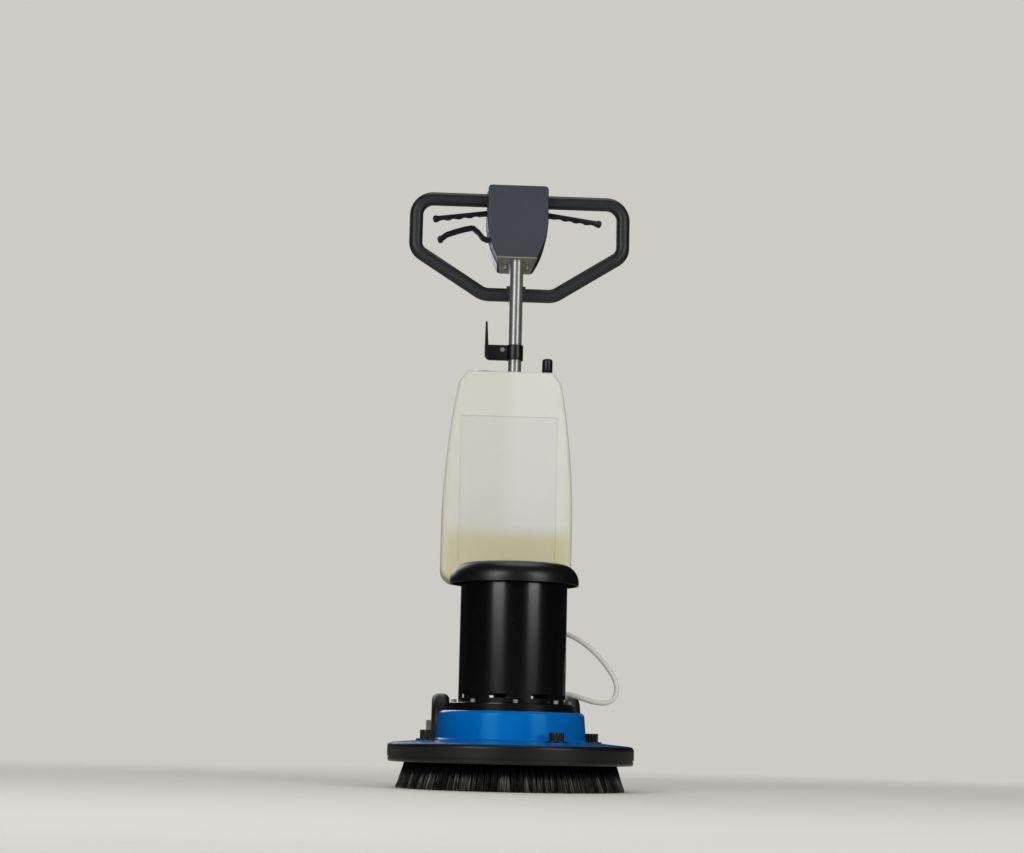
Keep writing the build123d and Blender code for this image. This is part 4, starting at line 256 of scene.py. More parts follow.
@dataclass(frozen=True)
class Finish:
    """One procedural surface finish.

    A finish drifts from its base colour to its shade, carries a grain in its bump, and is scuffed
    to another colour and roughness where it is handled.
    """

    name: str
    base: Colour
    shade: Colour
    roughness: float = 0.5
    metallic: float = 0.0
    specular: float = 0.5
    specular_tint: Colour = (1.0, 1.0, 1.0)
    drift_scale: float = 9.0
    grain_scale: float = 900.0
    grain_depth: float = 0.00005
    scuff: Colour = (0.5, 0.5, 0.5)
    scuff_scale: float = 55.0
    scuff_coverage: float = 0.1
    scuff_strength: float = 0.3
    coat: float = 0.0
    coat_roughness: float = 0.1

    def material(self) -> bpy.types.Material:
        """Make the Blender material of this finish.

        Returns:
            The finished material.
        """
        material = bpy.data.materials.new(self.name)
        material.use_nodes = True
        tree = material.node_tree
        shader = tree.nodes["Principled BSDF"]
        shader.inputs["Metallic"].default_value = self.metallic
        shader.inputs["Specular IOR Level"].default_value = self.specular
        shader.inputs["Specular Tint"].default_value = (*self.specular_tint, 1.0)
        shader.inputs["Coat Weight"].default_value = self.coat
        shader.inputs["Coat Roughness"].default_value = self.coat_roughness
        place = tree.nodes.new("ShaderNodeTexCoord").outputs["Object"]
        self.add_colour(tree, shader, place)
        self.add_bump(tree, shader, place)
        self.add_extra(shader)
        return material

    def add_colour(self, tree: Tree, shader: Node, place: Socket) -> None:
        """Feed the colour and roughness, with drift and scuffs.

        Args:
            tree: the material's node tree.
            shader: its Principled BSDF.
            place: the object coordinates.
        """
        colour = self.own_colour(tree, place)
        marks = add_node_group(tree, "handling_scuffs", place)
        marks.inputs["Scale"].default_value = self.scuff_scale
        marks.inputs["Coverage"].default_value = self.scuff_coverage
        weight = add_math(tree, "MULTIPLY", marks.outputs["Mask"], self.scuff_strength)
        seen = add_mix(tree, weight, colour, self.scuff)
        tree.links.new(seen, shader.inputs["Base Color"])
        rougher = add_math(tree, "MULTIPLY", weight, SCUFF_ROUGHENING)
        rough = add_math(tree, "ADD", rougher, self.roughness)
        tree.links.new(rough, shader.inputs["Roughness"])

    def own_colour(self, tree: Tree, place: Socket) -> Socket:
        """Add the colour before scuffs.

        Args:
            tree: the material's node tree.
            place: the object coordinates.

        Returns:
            The socket that carries the colour.
        """
        drift = add_node_group(tree, "colour_drift", place)
        drift.inputs["Scale"].default_value = self.drift_scale
        drift.inputs["Base"].default_value = (*self.base, 1.0)
        drift.inputs["Shade"].default_value = (*self.shade, 1.0)
        return drift.outputs["Color"]

    def add_bump(self, tree: Tree, shader: Node, place: Socket) -> None:
        """Feed the grain to the shader's normal.

        Args:
            tree: the material's node tree.
            shader: its Principled BSDF.
            place: the object coordinates.
        """
        grain = add_node_group(tree, "surface_grain", place)
        grain.inputs["Scale"].default_value = self.grain_scale
        bump = tree.nodes.new("ShaderNodeBump")
        bump.inputs["Distance"].default_value = self.grain_depth
        tree.links.new(grain.outputs["Height"], bump.inputs["Height"])
        tree.links.new(bump.outputs["Normal"], shader.inputs["Normal"])

    def add_extra(self, shader: Node) -> None:
        """Add what only this finish has; a plain finish adds nothing.

        Args:
            shader: the material's Principled BSDF.
        """


def add_node_group(tree: Tree, name: str, place: Socket) -> Node:
    """Place a shared group in a material.

    Args:
        tree: the material's node tree.
        name: the group's name.
        place: the coordinates that it reads.

    Returns:
        The new group node.
    """
    node = tree.nodes.new("ShaderNodeGroup")
    node.node_tree = bpy.data.node_groups[name]
    tree.links.new(place, node.inputs["Vector"])
    return node


def add_math(tree: Tree, operation: str, value: Socket, amount: float | Socket) -> Socket:
    """Add one math step.

    Args:
        tree: the material's node tree.
        operation: the math node's operation.
        value: the socket that it reads.
        amount: the second value, a fixed number or another socket.

    Returns:
        The result's socket.
    """
    node = tree.nodes.new("ShaderNodeMath")
    node.operation = operation
    tree.links.new(value, node.inputs[0])
    if isinstance(amount, Socket):
        tree.links.new(amount, node.inputs[1])
    else:
        node.inputs[1].default_value = amount
    return node.outputs[0]


def add_mix(tree: Tree, weight: Socket, colour: Socket, other: Colour) -> Socket:
    """Mix a fixed colour into another.

    Args:
        tree: the material's node tree.
        weight: how much of the fixed colour there is, from 0 to 1.
        colour: the socket that carries the first colour.
        other: the fixed colour.

    Returns:
        The socket that carries the mix.
    """
    mix = tree.nodes.new("ShaderNodeMix")
    mix.data_type = "RGBA"
    mix.inputs["B"].default_value = (*other, 1.0)
    tree.links.new(weight, mix.inputs["Factor"])
    tree.links.new(colour, mix.inputs["A"])
    return mix.outputs["Result"]


def add_fade(tree: Tree, value: Socket, start: float, end: float) -> Socket:
    """Add a soft step from 0 to 1 along a value.

    Args:
        tree: the material's node tree.
        value: the value that drives the step.
        start: where the step is still 0.
        end: where the step has become 1. It may lie below the start.

    Returns:
        The step's socket.
    """
    fade = tree.nodes.new("ShaderNodeMapRange")
    fade.interpolation_type = "SMOOTHSTEP"
    fade.inputs["From Min"].default_value = start
    fade.inputs["From Max"].default_value = end
    tree.links.new(value, fade.inputs["Value"])
    return fade.outputs["Result"]


@dataclass(frozen=True)
class TankFinish(Finish):
    """Milky moulded tank wall, darker and yellower below the level of what is left inside, with
    painted light on its right half and painted refraction along its sides.
    """

    residue: Colour = (0.54, 0.505, 0.325)
    level: float = 0.505
    level_blend: float = 0.022
    # Painted refraction: the warmer colour of the wall's outer sides, standing in for light passing
    # through the thick rounded corners.
    edge: Colour = (0.57, 0.555, 0.44)
    painted_refraction_start: float = 0.108
    painted_refraction_end: float = 0.136
    centre_x: float = -0.011
    # Painted light: the colour that the right half of the wall is brightened towards, standing in
    # for lamp light falling there.
    painted_light: Colour = (0.635, 0.632, 0.572)
    painted_light_blend: float = 0.02
    scatter: float = 0.25
    scatter_radius: Point = (0.02, 0.02, 0.012)
    scatter_scale: float = 0.5

    def own_colour(self, tree: Tree, place: Socket) -> Socket:
        """Add the wall's colour with painted light on the right, warmer sides that paint the
        refraction through the thick rounded corners, and the darker residue.

        Args:
            tree: the material's node tree.
            place: the object coordinates.

        Returns:
            The socket that carries the colour.
        """
        axes = tree.nodes.new("ShaderNodeSeparateXYZ")
        tree.links.new(place, axes.inputs[0])
        from_centre = add_math(tree, "SUBTRACT", axes.outputs["X"], self.centre_x)
        wall = super().own_colour(tree, place)
        # Painted light: the wall turns lighter to the right of centre.
        painted_light_mask = add_fade(tree, from_centre, -self.painted_light_blend, self.painted_light_blend)
        wall = add_mix(tree, painted_light_mask, wall, self.painted_light)
        low, high = self.level - self.level_blend, self.level + self.level_blend
        wall = add_mix(tree, add_fade(tree, axes.outputs["Z"], high, low), wall, self.residue)
        # Painted refraction: the outer sides turn warmer.
        off_centre = add_math(tree, "ABSOLUTE", from_centre, 0.0)
        painted_refraction_mask = add_fade(tree, off_centre, self.painted_refraction_start, self.painted_refraction_end)
        return add_mix(tree, painted_refraction_mask, wall, self.edge)

    def add_extra(self, shader: Node) -> None:
        """Let light scatter in the wall.

        Args:
            shader: the material's Principled BSDF.
        """
        shader.inputs["Subsurface Weight"].default_value = self.scatter
        shader.inputs["Subsurface Radius"].default_value = self.scatter_radius
        shader.inputs["Subsurface Scale"].default_value = self.scatter_scale


@dataclass(frozen=True)
class BristleFinish(Finish):
    """Stiff dark bristle whose strands differ in tone, read from the piece's own attribute.

    Only the palest strands, those above dark_share, show their light tone, and only near the floor;
    higher up every strand is held at the base colour as painted shade under the deck.
    """

    light: Colour = (0.3, 0.29, 0.26)
    dark_share: float = 0.55
    # Painted shade: above the first height the strands stay dark, and below the second they show
    # their own tone.
    painted_shade_above: float = 0.05
    painted_shade_clear_below: float = 0.018

    def own_colour(self, tree: Tree, place: Socket) -> Socket:
        """Add the strands' tones, with painted shade towards their roots.

        Args:
            tree: the material's node tree.
            place: the object coordinates.

        Returns:
            The socket that carries the colour.
        """
        tone = tree.nodes.new("ShaderNodeAttribute")
        tone.attribute_name = STRAND_TONE
        ramp = tree.nodes.new("ShaderNodeValToRGB")
        ramp.color_ramp.elements[0].color = (*self.base, 1.0)
        ramp.color_ramp.elements[0].position = self.dark_share
        ramp.color_ramp.elements[1].color = (*self.light, 1.0)
        axes = tree.nodes.new("ShaderNodeSeparateXYZ")
        tree.links.new(place, axes.inputs[0])
        # Painted shade: the strands darken towards their roots under the deck.
        painted_light = add_fade(tree, axes.outputs["Z"], self.painted_shade_above, self.painted_shade_clear_below)
        seen = add_math(tree, "MULTIPLY", tone.outputs["Fac"], painted_light)
        tree.links.new(seen, ramp.inputs["Fac"])
        return ramp.outputs["Color"]


@dataclass(frozen=True)
class ClearFinish(Finish):
    """Clear flexible tube: pale, glossy and only slightly see-through."""

    opacity: float = 0.93
    refraction: float = 1.5

    def add_extra(self, shader: Node) -> None:
        """Make the wall slightly see-through.

        Args:
            shader: the material's Principled BSDF.
        """
        shader.inputs["Alpha"].default_value = self.opacity
        shader.inputs["IOR"].default_value = self.refraction


class FinishBook:
    """Every finish of the machine, by the name of its material slot."""

    def __init__(self) -> None:
        """Make the shared groups and the materials."""
        grain_group()
        drift_group()
        scuff_group()
        self.materials = {finish.name: finish.material() for finish in self.finishes()}

    @staticmethod
    def finishes() -> list[Finish]:
        """List the finishes of all slots.

        Returns:
            One finish for each slot.
        """
        steel = {"metallic": 0.75, "scuff": (0.25, 0.24, 0.23)}
        return [
            Finish("drum_paint", (0.0, 0.118, 0.41), (0.0, 0.105, 0.37), 0.2, specular=0.4,
                   specular_tint=(0.12, 0.75, 0.9), grain_scale=260.0, grain_depth=0.00001,
                   scuff=(0.0, 0.2, 0.5)),
            Finish("black_enamel", (0.0005, 0.0005, 0.0006), (0.0009, 0.0009, 0.001), 0.21,
                   specular=0.75, grain_scale=300.0, grain_depth=0.00001,
                   scuff=(0.012, 0.012, 0.012), coat=0.45, coat_roughness=0.12),
            Finish("handle_coat", (0.015, 0.0155, 0.018), (0.012, 0.0125, 0.0145), 0.44,
                   grain_scale=1400.0, grain_depth=0.00006, scuff=(0.06, 0.06, 0.065)),
            Finish("bumper_rubber", (0.0028, 0.0028, 0.0026), (0.004, 0.004, 0.0036), 0.4,
                   specular=0.4, grain_scale=700.0, grain_depth=0.00005, scuff=(0.06, 0.06, 0.06),
                   coat=0.1, coat_roughness=0.25),
            BristleFinish("bristle_fibre", (0.002, 0.002, 0.002), (0.004, 0.004, 0.004), 0.55,
                          grain_scale=500.0, scuff=(0.05, 0.05, 0.045)),
            Finish("block_board", (0.012, 0.012, 0.012), (0.02, 0.02, 0.02), 0.7,
                   grain_scale=350.0, grain_depth=0.0002, scuff=(0.12, 0.11, 0.1)),
            Finish("gloss_moulding", (0.0026, 0.0026, 0.0028), (0.0036, 0.0036, 0.0038), 0.34,
                   specular=0.6, grain_scale=240.0, grain_depth=0.00002, scuff=(0.02, 0.02, 0.02)),
            Finish("slate_moulding", (0.034, 0.039, 0.052), (0.03, 0.035, 0.046), 0.5,
                   grain_scale=1700.0, grain_depth=0.00012, scuff=(0.08, 0.09, 0.1)),
            Finish("black_moulding", (0.0022, 0.0022, 0.0024), (0.0034, 0.0034, 0.0036), 0.34,
                   grain_scale=1200.0, grain_depth=0.00004, scuff=(0.04, 0.04, 0.04)),
            Finish("hub_moulding", (0.045, 0.045, 0.048), (0.035, 0.035, 0.037), 0.5,
                   grain_scale=900.0, scuff=(0.15, 0.15, 0.15)),
            TankFinish("tank_poly", (0.60, 0.597, 0.525), (0.58, 0.577, 0.505), 0.42,
                       specular=0.12, drift_scale=4.0, grain_scale=420.0, grain_depth=0.00008,
                       scuff=(0.42, 0.41, 0.34), scuff_coverage=0.04),
            ClearFinish("hose_pvc", (0.74, 0.72, 0.63), (0.7, 0.68, 0.58), 0.26, grain_scale=200.0,
                        grain_depth=0.00001, scuff=(0.6, 0.6, 0.52)),
            Finish("pole_chrome", (0.34, 0.34, 0.34), (0.28, 0.28, 0.275), 0.3, drift_scale=30.0,
                   grain_scale=150.0, grain_depth=0.00001, scuff_strength=0.2, **steel),
            Finish("zinc_steel", (0.42, 0.42, 0.4), (0.35, 0.34, 0.32), 0.36, grain_scale=800.0,
                   **steel),
            Finish("plate_steel", (0.55, 0.52, 0.47), (0.45, 0.42, 0.37), 0.36, grain_scale=900.0,
                   **steel),
            Finish("machined_steel", (0.48, 0.48, 0.49), (0.4, 0.4, 0.41), 0.3, **steel),
            Finish("cast_aluminium", (0.55, 0.55, 0.56), (0.45, 0.45, 0.46), 0.48,
                   grain_scale=500.0, grain_depth=0.0002, **steel),
            Finish("core_steel", (0.25, 0.25, 0.27), (0.18, 0.18, 0.19), 0.45, **steel),
            Finish("winding_copper", (0.5, 0.17, 0.06), (0.38, 0.12, 0.04), 0.35, metallic=0.8,
                   grain_scale=600.0, grain_depth=0.0004),
            Finish("seal_rubber", (0.012, 0.012, 0.012), (0.02, 0.02, 0.02), 0.6),
            Finish("tyre_rubber", (0.005, 0.005, 0.0052), (0.008, 0.008, 0.008), 0.5,
                   grain_scale=600.0, grain_depth=0.0001, scuff=(0.05, 0.048, 0.045),
                   scuff_coverage=0.18),
        ]

    def dress(self, piece: bpy.types.Object, name: str) -> None:
        """Give a piece one finish.

        Args:
            piece: the object to dress.
            name: the finish's slot name.
        """
        if not piece.material_slots:
            piece.data.materials.append(self.materials[name])
        for slot in piece.material_slots:
            slot.material = self.materials[name]


# ---------------------------------------------------------------- modelling helpers


def clear_selection() -> None:
    """Leave nothing selected and object mode on."""
    if bpy.context.object and bpy.context.object.mode != "OBJECT":
        bpy.ops.object.mode_set(mode="OBJECT")
    bpy.ops.object.select_all(action="DESELECT")


def pick(piece: bpy.types.Object) -> None:
    """Select one object alone and make it active.

    Args:
        piece: the object.
    """
    clear_selection()
    piece.select_set(True)
    bpy.context.view_layer.objects.active = piece


def settle(piece: bpy.types.Object, name: str) -> bpy.types.Object:
    """Name a piece and move its place into its mesh.

    Args:
        piece: the finished object.
        name: the piece's name.

    Returns:
        The same object, at the origin.
    """
    pick(piece)
    bpy.ops.object.transform_apply(location=True, rotation=True, scale=True)
    piece.name = name
    piece.data.name = name
    return piece


def join(pieces: Sequence[bpy.types.Object], name: str) -> bpy.types.Object:
    """Join several objects into one settled piece.

    Args:
        pieces: the objects, the first of which is kept.
        name: the joined piece's name.

    Returns:
        The joined object.
    """
    clear_selection()
    for piece in pieces:
        piece.select_set(True)
    bpy.context.view_layer.objects.active = pieces[0]
    bpy.ops.object.join()
    return settle(pieces[0], name)


def apply_bevel(
    piece: bpy.types.Object, width: float, segments: int, angle: float = SMOOTH_ANGLE
) -> None:
    """Round a piece's sharp edges and shade it smooth.

    Args:
        piece: the object.
        width: the bevel's width.
        segments: how many steps round the edge.
        angle: edges sharper than this many degrees are rounded.
    """
    pick(piece)
    bevel = piece.modifiers.new("edge_round", "BEVEL")
    bevel.width = width
    bevel.segments = segments
    bevel.limit_method = "ANGLE"
    bevel.angle_limit = math.radians(angle)
    bpy.ops.object.modifier_apply(modifier=bevel.name)
    bpy.ops.object.shade_smooth_by_angle(angle=math.radians(angle))


def add_cylinder(centre: Point, radius: float, height: float, sides: int = 48) -> bpy.types.Object:
    """Add a closed upright cylinder.

    Args:
        centre: its centre.
        radius: its radius.
        height: its height.
        sides: how many sides it has.

    Returns:
        The new object.
    """
    clear_selection()
    bpy.ops.mesh.primitive_cylinder_add(
        vertices=sides, radius=radius, depth=height, location=centre
    )
    return bpy.context.object


def select_faces(piece: bpy.types.Object, wanted: Iterable[int]) -> None:
    """Select faces by number and enter edit mode on them.

    Args:
        piece: the object.
        wanted: the faces' numbers.
    """
    pick(piece)
    bpy.ops.object.mode_set(mode="EDIT")
    bpy.ops.mesh.select_mode(type="FACE")
    bpy.ops.mesh.select_all(action="DESELECT")
    bpy.ops.object.mode_set(mode="OBJECT")
    for number in wanted:
        piece.data.polygons[number].select = True
    bpy.ops.object.mode_set(mode="EDIT")


def softened_copy(node: str, name: str, width: float = 0.0) -> bpy.types.Object:
    """Copy a CAD node, merge its loose faces and round its edges as a moulding's are.

    Args:
        node: the CAD node.
        name: the new piece's name.
        width: the radius of the rounded edges, or 0 to leave them sharp.

    Returns:
        The new object, which replaces the node.
    """
    source = bpy.data.objects[node]
    piece = bpy.data.objects.new(name, source.data.copy())
    bpy.context.scene.collection.objects.link(piece)
    pick(piece)
    bpy.ops.object.mode_set(mode="EDIT")
    bpy.ops.mesh.select_all(action="SELECT")
    bpy.ops.mesh.remove_doubles(threshold=MERGE_DISTANCE)
    bpy.ops.mesh.dissolve_limited(angle_limit=math.radians(FLAT_ANGLE))
    bpy.ops.object.mode_set(mode="OBJECT")
    if width:
        apply_bevel(piece, width, EDGE_STEPS)
    return piece


class Kit:
    """What every sub-assembly needs: the finishes and the way a piece is handed over."""

    def __init__(self, finishes: FinishBook) -> None:
        """Keep the finishes.

        Args:
            finishes: the machine's finishes.
        """
        self.finishes = finishes

    def hand_over(
        self, piece: bpy.types.Object, body: Body, slot: str, nodes: Sequence[str] = ()
    ) -> None:
        """Dress a piece, let it ride on its body and stand for its nodes.

        Args:
            piece: the finished piece.
            body: the body that it rides on.
            slot: its finish.
            nodes: the CAD nodes that it replaces.
        """
        self.finishes.dress(piece, slot)
        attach(piece, body.value)
        if nodes:
            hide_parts(*nodes)
        LOG.info("%s: %d faces, rides on %s", piece.name, len(piece.data.polygons), body.value)


# ---------------------------------------------------------------- brush


@dataclass
class StrandMesh:
    """Points, faces and tones of all strands so far."""

    points: list[Point] = field(default_factory=list)
    faces: list[tuple[int, ...]] = field(default_factory=list)
    tones: list[float] = field(default_factory=list)


@dataclass
class Brush:
    """Round scrubbing brush: rings of stiff tufts that flare towards the floor."""

    kit: Kit
    root_height: float = 0.0505
    inner_root: float = 0.070
    outer_root: float = 0.200
    inner_tip: float = 0.064
    outer_tip: float = 0.2185
    ring_count: int = 12
    tuft_pitch: float = 0.0115
    outer_rings: int = 3
    dense_strands: int = 15
    plain_strands: int = 6
    strand_sides: int = 3
    strand_width: float = 0.0011
    strand_taper: tuple[float, ...] = (1.0, 0.95, 0.6)
    strand_twist: float = 2.0
    bend_share: float = 0.55
    bow: float = 0.0018
    tuft_radius: float = 0.0034
    tuft_spread: float = 1.5
    tip_scatter: float = 0.0024
    ragged: float = 0.0042
    own_tone: float = 0.55
    tuft_tone: float = 0.45
    seed: int = 7

    def build(self) -> None:
        """Make every tuft and stand it in place of the plain ring."""
        draw = random.Random(self.seed)
        strand_mesh = StrandMesh()
        for ring in range(self.ring_count):
            share = ring / (self.ring_count - 1)
            root = self.inner_root + share * (self.outer_root - self.inner_root)
            tip = self.inner_tip + share * (self.outer_tip - self.inner_tip)
            is_outer = ring >= self.ring_count - self.outer_rings
            strands = self.dense_strands if is_outer else self.plain_strands
            count = round(2 * math.pi * root / self.tuft_pitch)
            for tuft in range(count):
                angle = 2 * math.pi * (tuft + 0.5 * (ring % 2)) / count
                self.add_tuft(draw, angle, root, tip, strands, strand_mesh)
        mesh = bpy.data.meshes.new("brush_tufts")
        mesh.from_pydata(strand_mesh.points, [], strand_mesh.faces)
        tone = mesh.attributes.new(STRAND_TONE, "FLOAT", "POINT")
        tone.data.foreach_set("value", strand_mesh.tones)
        tufts = bpy.data.objects.new("brush_tufts", mesh)
        bpy.context.scene.collection.objects.link(tufts)
        pick(tufts)
        bpy.ops.object.shade_smooth()
        self.kit.hand_over(tufts, Body.BRUSH, "bristle_fibre", ["brush_bristles"])

    def add_tuft(
        self,
        draw: random.Random,
        angle: float,
        root: float,
        tip: float,
        strands: int,
        strand_mesh: StrandMesh,
    ) -> None:
        """Add one tuft's strands to the mesh.

        Args:
            draw: the seeded source of scatter.
            angle: where the tuft stands round the brush.
            root: its radius at the block.
            tip: its radius at the floor.
            strands: how many strands it has.
            strand_mesh: the strands so far.
        """
        out = Vector((math.cos(angle), math.sin(angle), 0.0))
        along = Vector((-math.sin(angle), math.cos(angle), 0.0))
        shared_tone = draw.random()
        for _ in range(strands):
            turn = draw.uniform(0, 2 * math.pi)
            reach = self.tuft_radius * math.sqrt(draw.random())
            start = out * (root + reach * math.cos(turn)) + along * reach * math.sin(turn)
            start.z = self.root_height
            spread = self.tip_scatter + reach
            end = out * min(tip + draw.uniform(-1, 1) * spread, self.outer_tip)
            aside = reach * math.sin(turn) * self.tuft_spread
            end += along * (aside + draw.uniform(-1, 1) * self.tip_scatter)
            end.z = self.ragged * draw.random() ** 2
            middle = start.lerp(end, self.bend_share) - out * draw.uniform(0.0, self.bow)
            tone = self.own_tone * draw.random() + self.tuft_tone * shared_tone
            twist = draw.uniform(0, self.strand_twist)
            self.add_strand([start, middle, end], twist, tone, strand_mesh)

    def add_strand(
        self, line: Sequence[Vector], twist: float, tone: float, strand_mesh: StrandMesh
    ) -> None:
        """Add one strand along its root, middle and tip.

        Args:
            line: its root, middle and tip.
            twist: how far its section is turned.
            tone: its tone.
            strand_mesh: the strands so far.
        """
        points, faces, sides = strand_mesh.points, strand_mesh.faces, self.strand_sides
        first = len(points)
        for place, width in zip(line, self.strand_taper):
            for side in range(sides):
                turn = twist + side * 2 * math.pi / sides
                towards = Vector((math.cos(turn), math.sin(turn), 0.0))
                points.append(tuple(place + towards * self.strand_width * width / 2))
        for level in range(first, first + (len(line) - 1) * sides, sides):
            for side in range(sides):
                a = level + side
                b = level + (side + 1) % sides
                faces.append((a, a + sides, b + sides, b))
        last = len(points)
        faces.append(tuple(range(first, first + sides)))
        faces.append(tuple(reversed(range(last - sides, last))))
        strand_mesh.tones.extend([tone] * (last - first))


# ---------------------------------------------------------------- deck


@dataclass
class Deck:
    """Deck hand knobs with their flange washers and ribbed heads."""

    kit: Kit
    count: int = 4
    pitch_radius: float = 0.178
    start_angle: float = -64.5
    seat: float = 0.0906
    washer_radius: float = 0.021
    washer_height: float = 0.003
    head_radius: float = 0.014
    flutes: int = 14
    flute_depth: float = 0.0011
    flute_inset: float = 0.0006
    washer_edge: float = 0.0008
    head_edge: float = 0.0009
    head_edge_angle: float = 50.0
    edge_steps: int = 2

    def build(self) -> None:
        """Make one knob, copy it round the deck and join the copies."""
        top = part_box("deck_knobs")[1].z
        knobs = []
        for number in range(self.count):
            angle = math.radians(self.start_angle + 360.0 / self.count * number)
            x = self.pitch_radius * math.cos(angle)
            y = self.pitch_radius * math.sin(angle)
            knobs.extend(self.knob(x, y, top))
        piece = join(knobs, "deck_knobs_ribbed")
        self.kit.hand_over(piece, Body.ROOT, "black_moulding", ["deck_knobs"])

    def knob(self, x: float, y: float, top: float) -> list[bpy.types.Object]:
        """Make one knob's washer and head.

        Args:
            x: its place across the deck.
            y: its place along the deck.
            top: the height of its top.

        Returns:
            The washer and the head.
        """
        middle = self.seat + self.washer_height / 2
        washer = add_cylinder((x, y, middle), self.washer_radius, self.washer_height)
        apply_bevel(washer, self.washer_edge, self.edge_steps)
        base = self.seat + self.washer_height
        centre = (x, y, (base + top) / 2)
        head = add_cylinder(centre, self.head_radius, top - base, 2 * self.flutes)
        sides = [face.index for face in head.data.polygons if abs(face.normal.z) < 0.5]
        select_faces(head, sides[::2])
        bpy.ops.mesh.inset(
            thickness=self.flute_inset, depth=-self.flute_depth, use_individual=True
        )
        bpy.ops.object.mode_set(mode="OBJECT")
        apply_bevel(head, self.head_edge, self.edge_steps, self.head_edge_angle)
        return [washer, head]


# ---------------------------------------------------------------- motor


@dataclass
class Motor:
    """Motor can with the row of windows above its foot."""

    kit: Kit
    window_count: int = 8
    window_start: float = -107.0
    window_low: float = 0.009
    window_high: float = 0.017
    window_half_width: float = 0.018
    wall_reach: float = 0.012

    def build(self) -> None:
        """Cut the windows into a copy of the can and shade it smooth."""
        low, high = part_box("motor_can")
        can = softened_copy("motor_can", "motor_can_vented")
        centre_z = low.z + (self.window_low + self.window_high) / 2
        height = self.window_high - self.window_low
        radius = high.x - self.wall_reach / 2
        bars = []
        for number in range(self.window_count):
            angle = math.radians(self.window_start + 360.0 / self.window_count * number)
            clear_selection()
            place = (radius * math.cos(angle), radius * math.sin(angle), centre_z)
            bpy.ops.mesh.primitive_cube_add(size=1.0, location=place)
            bar = bpy.context.object
            bar.scale = (2 * self.wall_reach, 2 * self.window_half_width, height)
            bar.rotation_euler = (0.0, 0.0, angle)
            bars.append(bar)
        cutter = join(bars, "window_cutter")
        pick(can)
        cut = can.modifiers.new("windows", "BOOLEAN")
        cut.operation = "DIFFERENCE"
        cut.solver = "EXACT"
        cut.object = cutter
        bpy.ops.object.modifier_apply(modifier=cut.name)
        bpy.data.objects.remove(cutter)
        pick(can)
        bpy.ops.object.shade_smooth_by_angle(angle=math.radians(SMOOTH_ANGLE))
        self.kit.hand_over(can, Body.ROOT, "black_enamel", ["motor_can"])


# ---------------------------------------------------------------- hose


@dataclass
class SolutionHose:
    """Clear hose from the tank's valve down to the inlet on the deck."""

    kit: Kit
    diameter: float = 0.010
    length: float = 0.457
    section_steps: int = 4
    spline_order: int = 3
    spline_steps: int = 10
    smooth_angle: float = 50.0
    # The point of the route from which the hose was meant to stay with the deck; it is not used,
    # and the whole hose is one piece.
    deck_point: int = -5
    route: tuple[Point, ...] = (
        (0.067, 0.190, 0.372),
        (0.067, 0.190, 0.343),
        (0.092, 0.181, 0.316),
        (0.131, 0.172, 0.303),
        (0.166, 0.166, 0.279),
        (0.197, 0.160, 0.246),
        (0.218, 0.157, 0.212),
        (0.217, 0.155, 0.184),
        (0.199, 0.153, 0.170),
        (0.170, 0.152, 0.172),
        (0.139, 0.154, 0.182),
        (0.113, 0.157, 0.189),
        (0.087, 0.159, 0.174),
        (0.080, 0.158, 0.145),
        (0.080, 0.158, 0.117),
    )

    def curve(self, bevel: float) -> bpy.types.Object:
        """Make the route as one smooth spline.

        Args:
            bevel: the radius of the tube round it, or 0 for the line alone.

        Returns:
            The curve object.
        """
        data = bpy.data.curves.new("hose_route", "CURVE")
        data.dimensions = "3D"
        data.bevel_depth = bevel
        data.bevel_resolution = self.section_steps
        data.use_fill_caps = bevel > 0
        spline = data.splines.new("NURBS")
        spline.points.add(len(self.route) - 1)
        for point, place in zip(spline.points, self.route):
            point.co = (*place, 1.0)
        spline.order_u = self.spline_order
        spline.use_endpoint_u = True
        spline.resolution_u = self.spline_steps
        holder = bpy.data.objects.new("hose_route", data)
        bpy.context.scene.collection.objects.link(holder)
        return holder

    def build(self) -> None:
        line = self.curve(0.0)
        path_mesh = bpy.data.meshes.new_from_object(line)
        bpy.data.objects.remove(line)
        tube = self.curve(self.diameter / 2)
        pick(tube)
        bpy.ops.object.convert(target="MESH")
        tube = bpy.context.object
        settle(tube, "clear_hose")
        bpy.ops.object.shade_smooth_by_angle(angle=math.radians(self.smooth_angle))
        self.kit.hand_over(tube, Body.ROOT, "hose_pvc", ["solution_hose"])
        tube.parent = None
        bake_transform(tube)


# ---------------------------------------------------------------- moulded pieces


@dataclass(frozen=True)
class SoftPart:
    """A small moulded or cast CAD node whose edges are rounded in the visual model."""

    node: str
    body: Body
    slot: str
    radius: float


@dataclass
class Mouldings:
    """Levers, hook, knobs and brackets with their real edge radii."""

    kit: Kit
    parts: tuple[SoftPart, ...] = (
        SoftPart("left_switch_lever", Body.LEFT_SWITCH, "black_moulding", 0.0026),
        SoftPart("right_switch_lever", Body.RIGHT_SWITCH, "black_moulding", 0.0026),
        SoftPart("release_lever", Body.RELEASE, "black_moulding", 0.0026),
        SoftPart("cable_hook", Body.HANDLE, "black_moulding", 0.0018),
        SoftPart("valve_knob", Body.VALVE, "black_moulding", 0.0012),
        SoftPart("loop_saddle", Body.HANDLE, "handle_coat", 0.0015),
    )

    def build(self) -> None:
        """Make each rounded piece in place of its node."""
        for part in self.parts:
            piece = softened_copy(part.node, part.node + "_rounded", part.radius)
            self.kit.hand_over(piece, part.body, part.slot, [part.node])


# ---------------------------------------------------------------- the stage


@dataclass(frozen=True)
class Lamp:
    """One soft area lamp, its power in watts and its size in metres."""

    name: str
    place: Point
    target: Point
    power: float
    width: float
    height: float
    in_reflections: bool = True


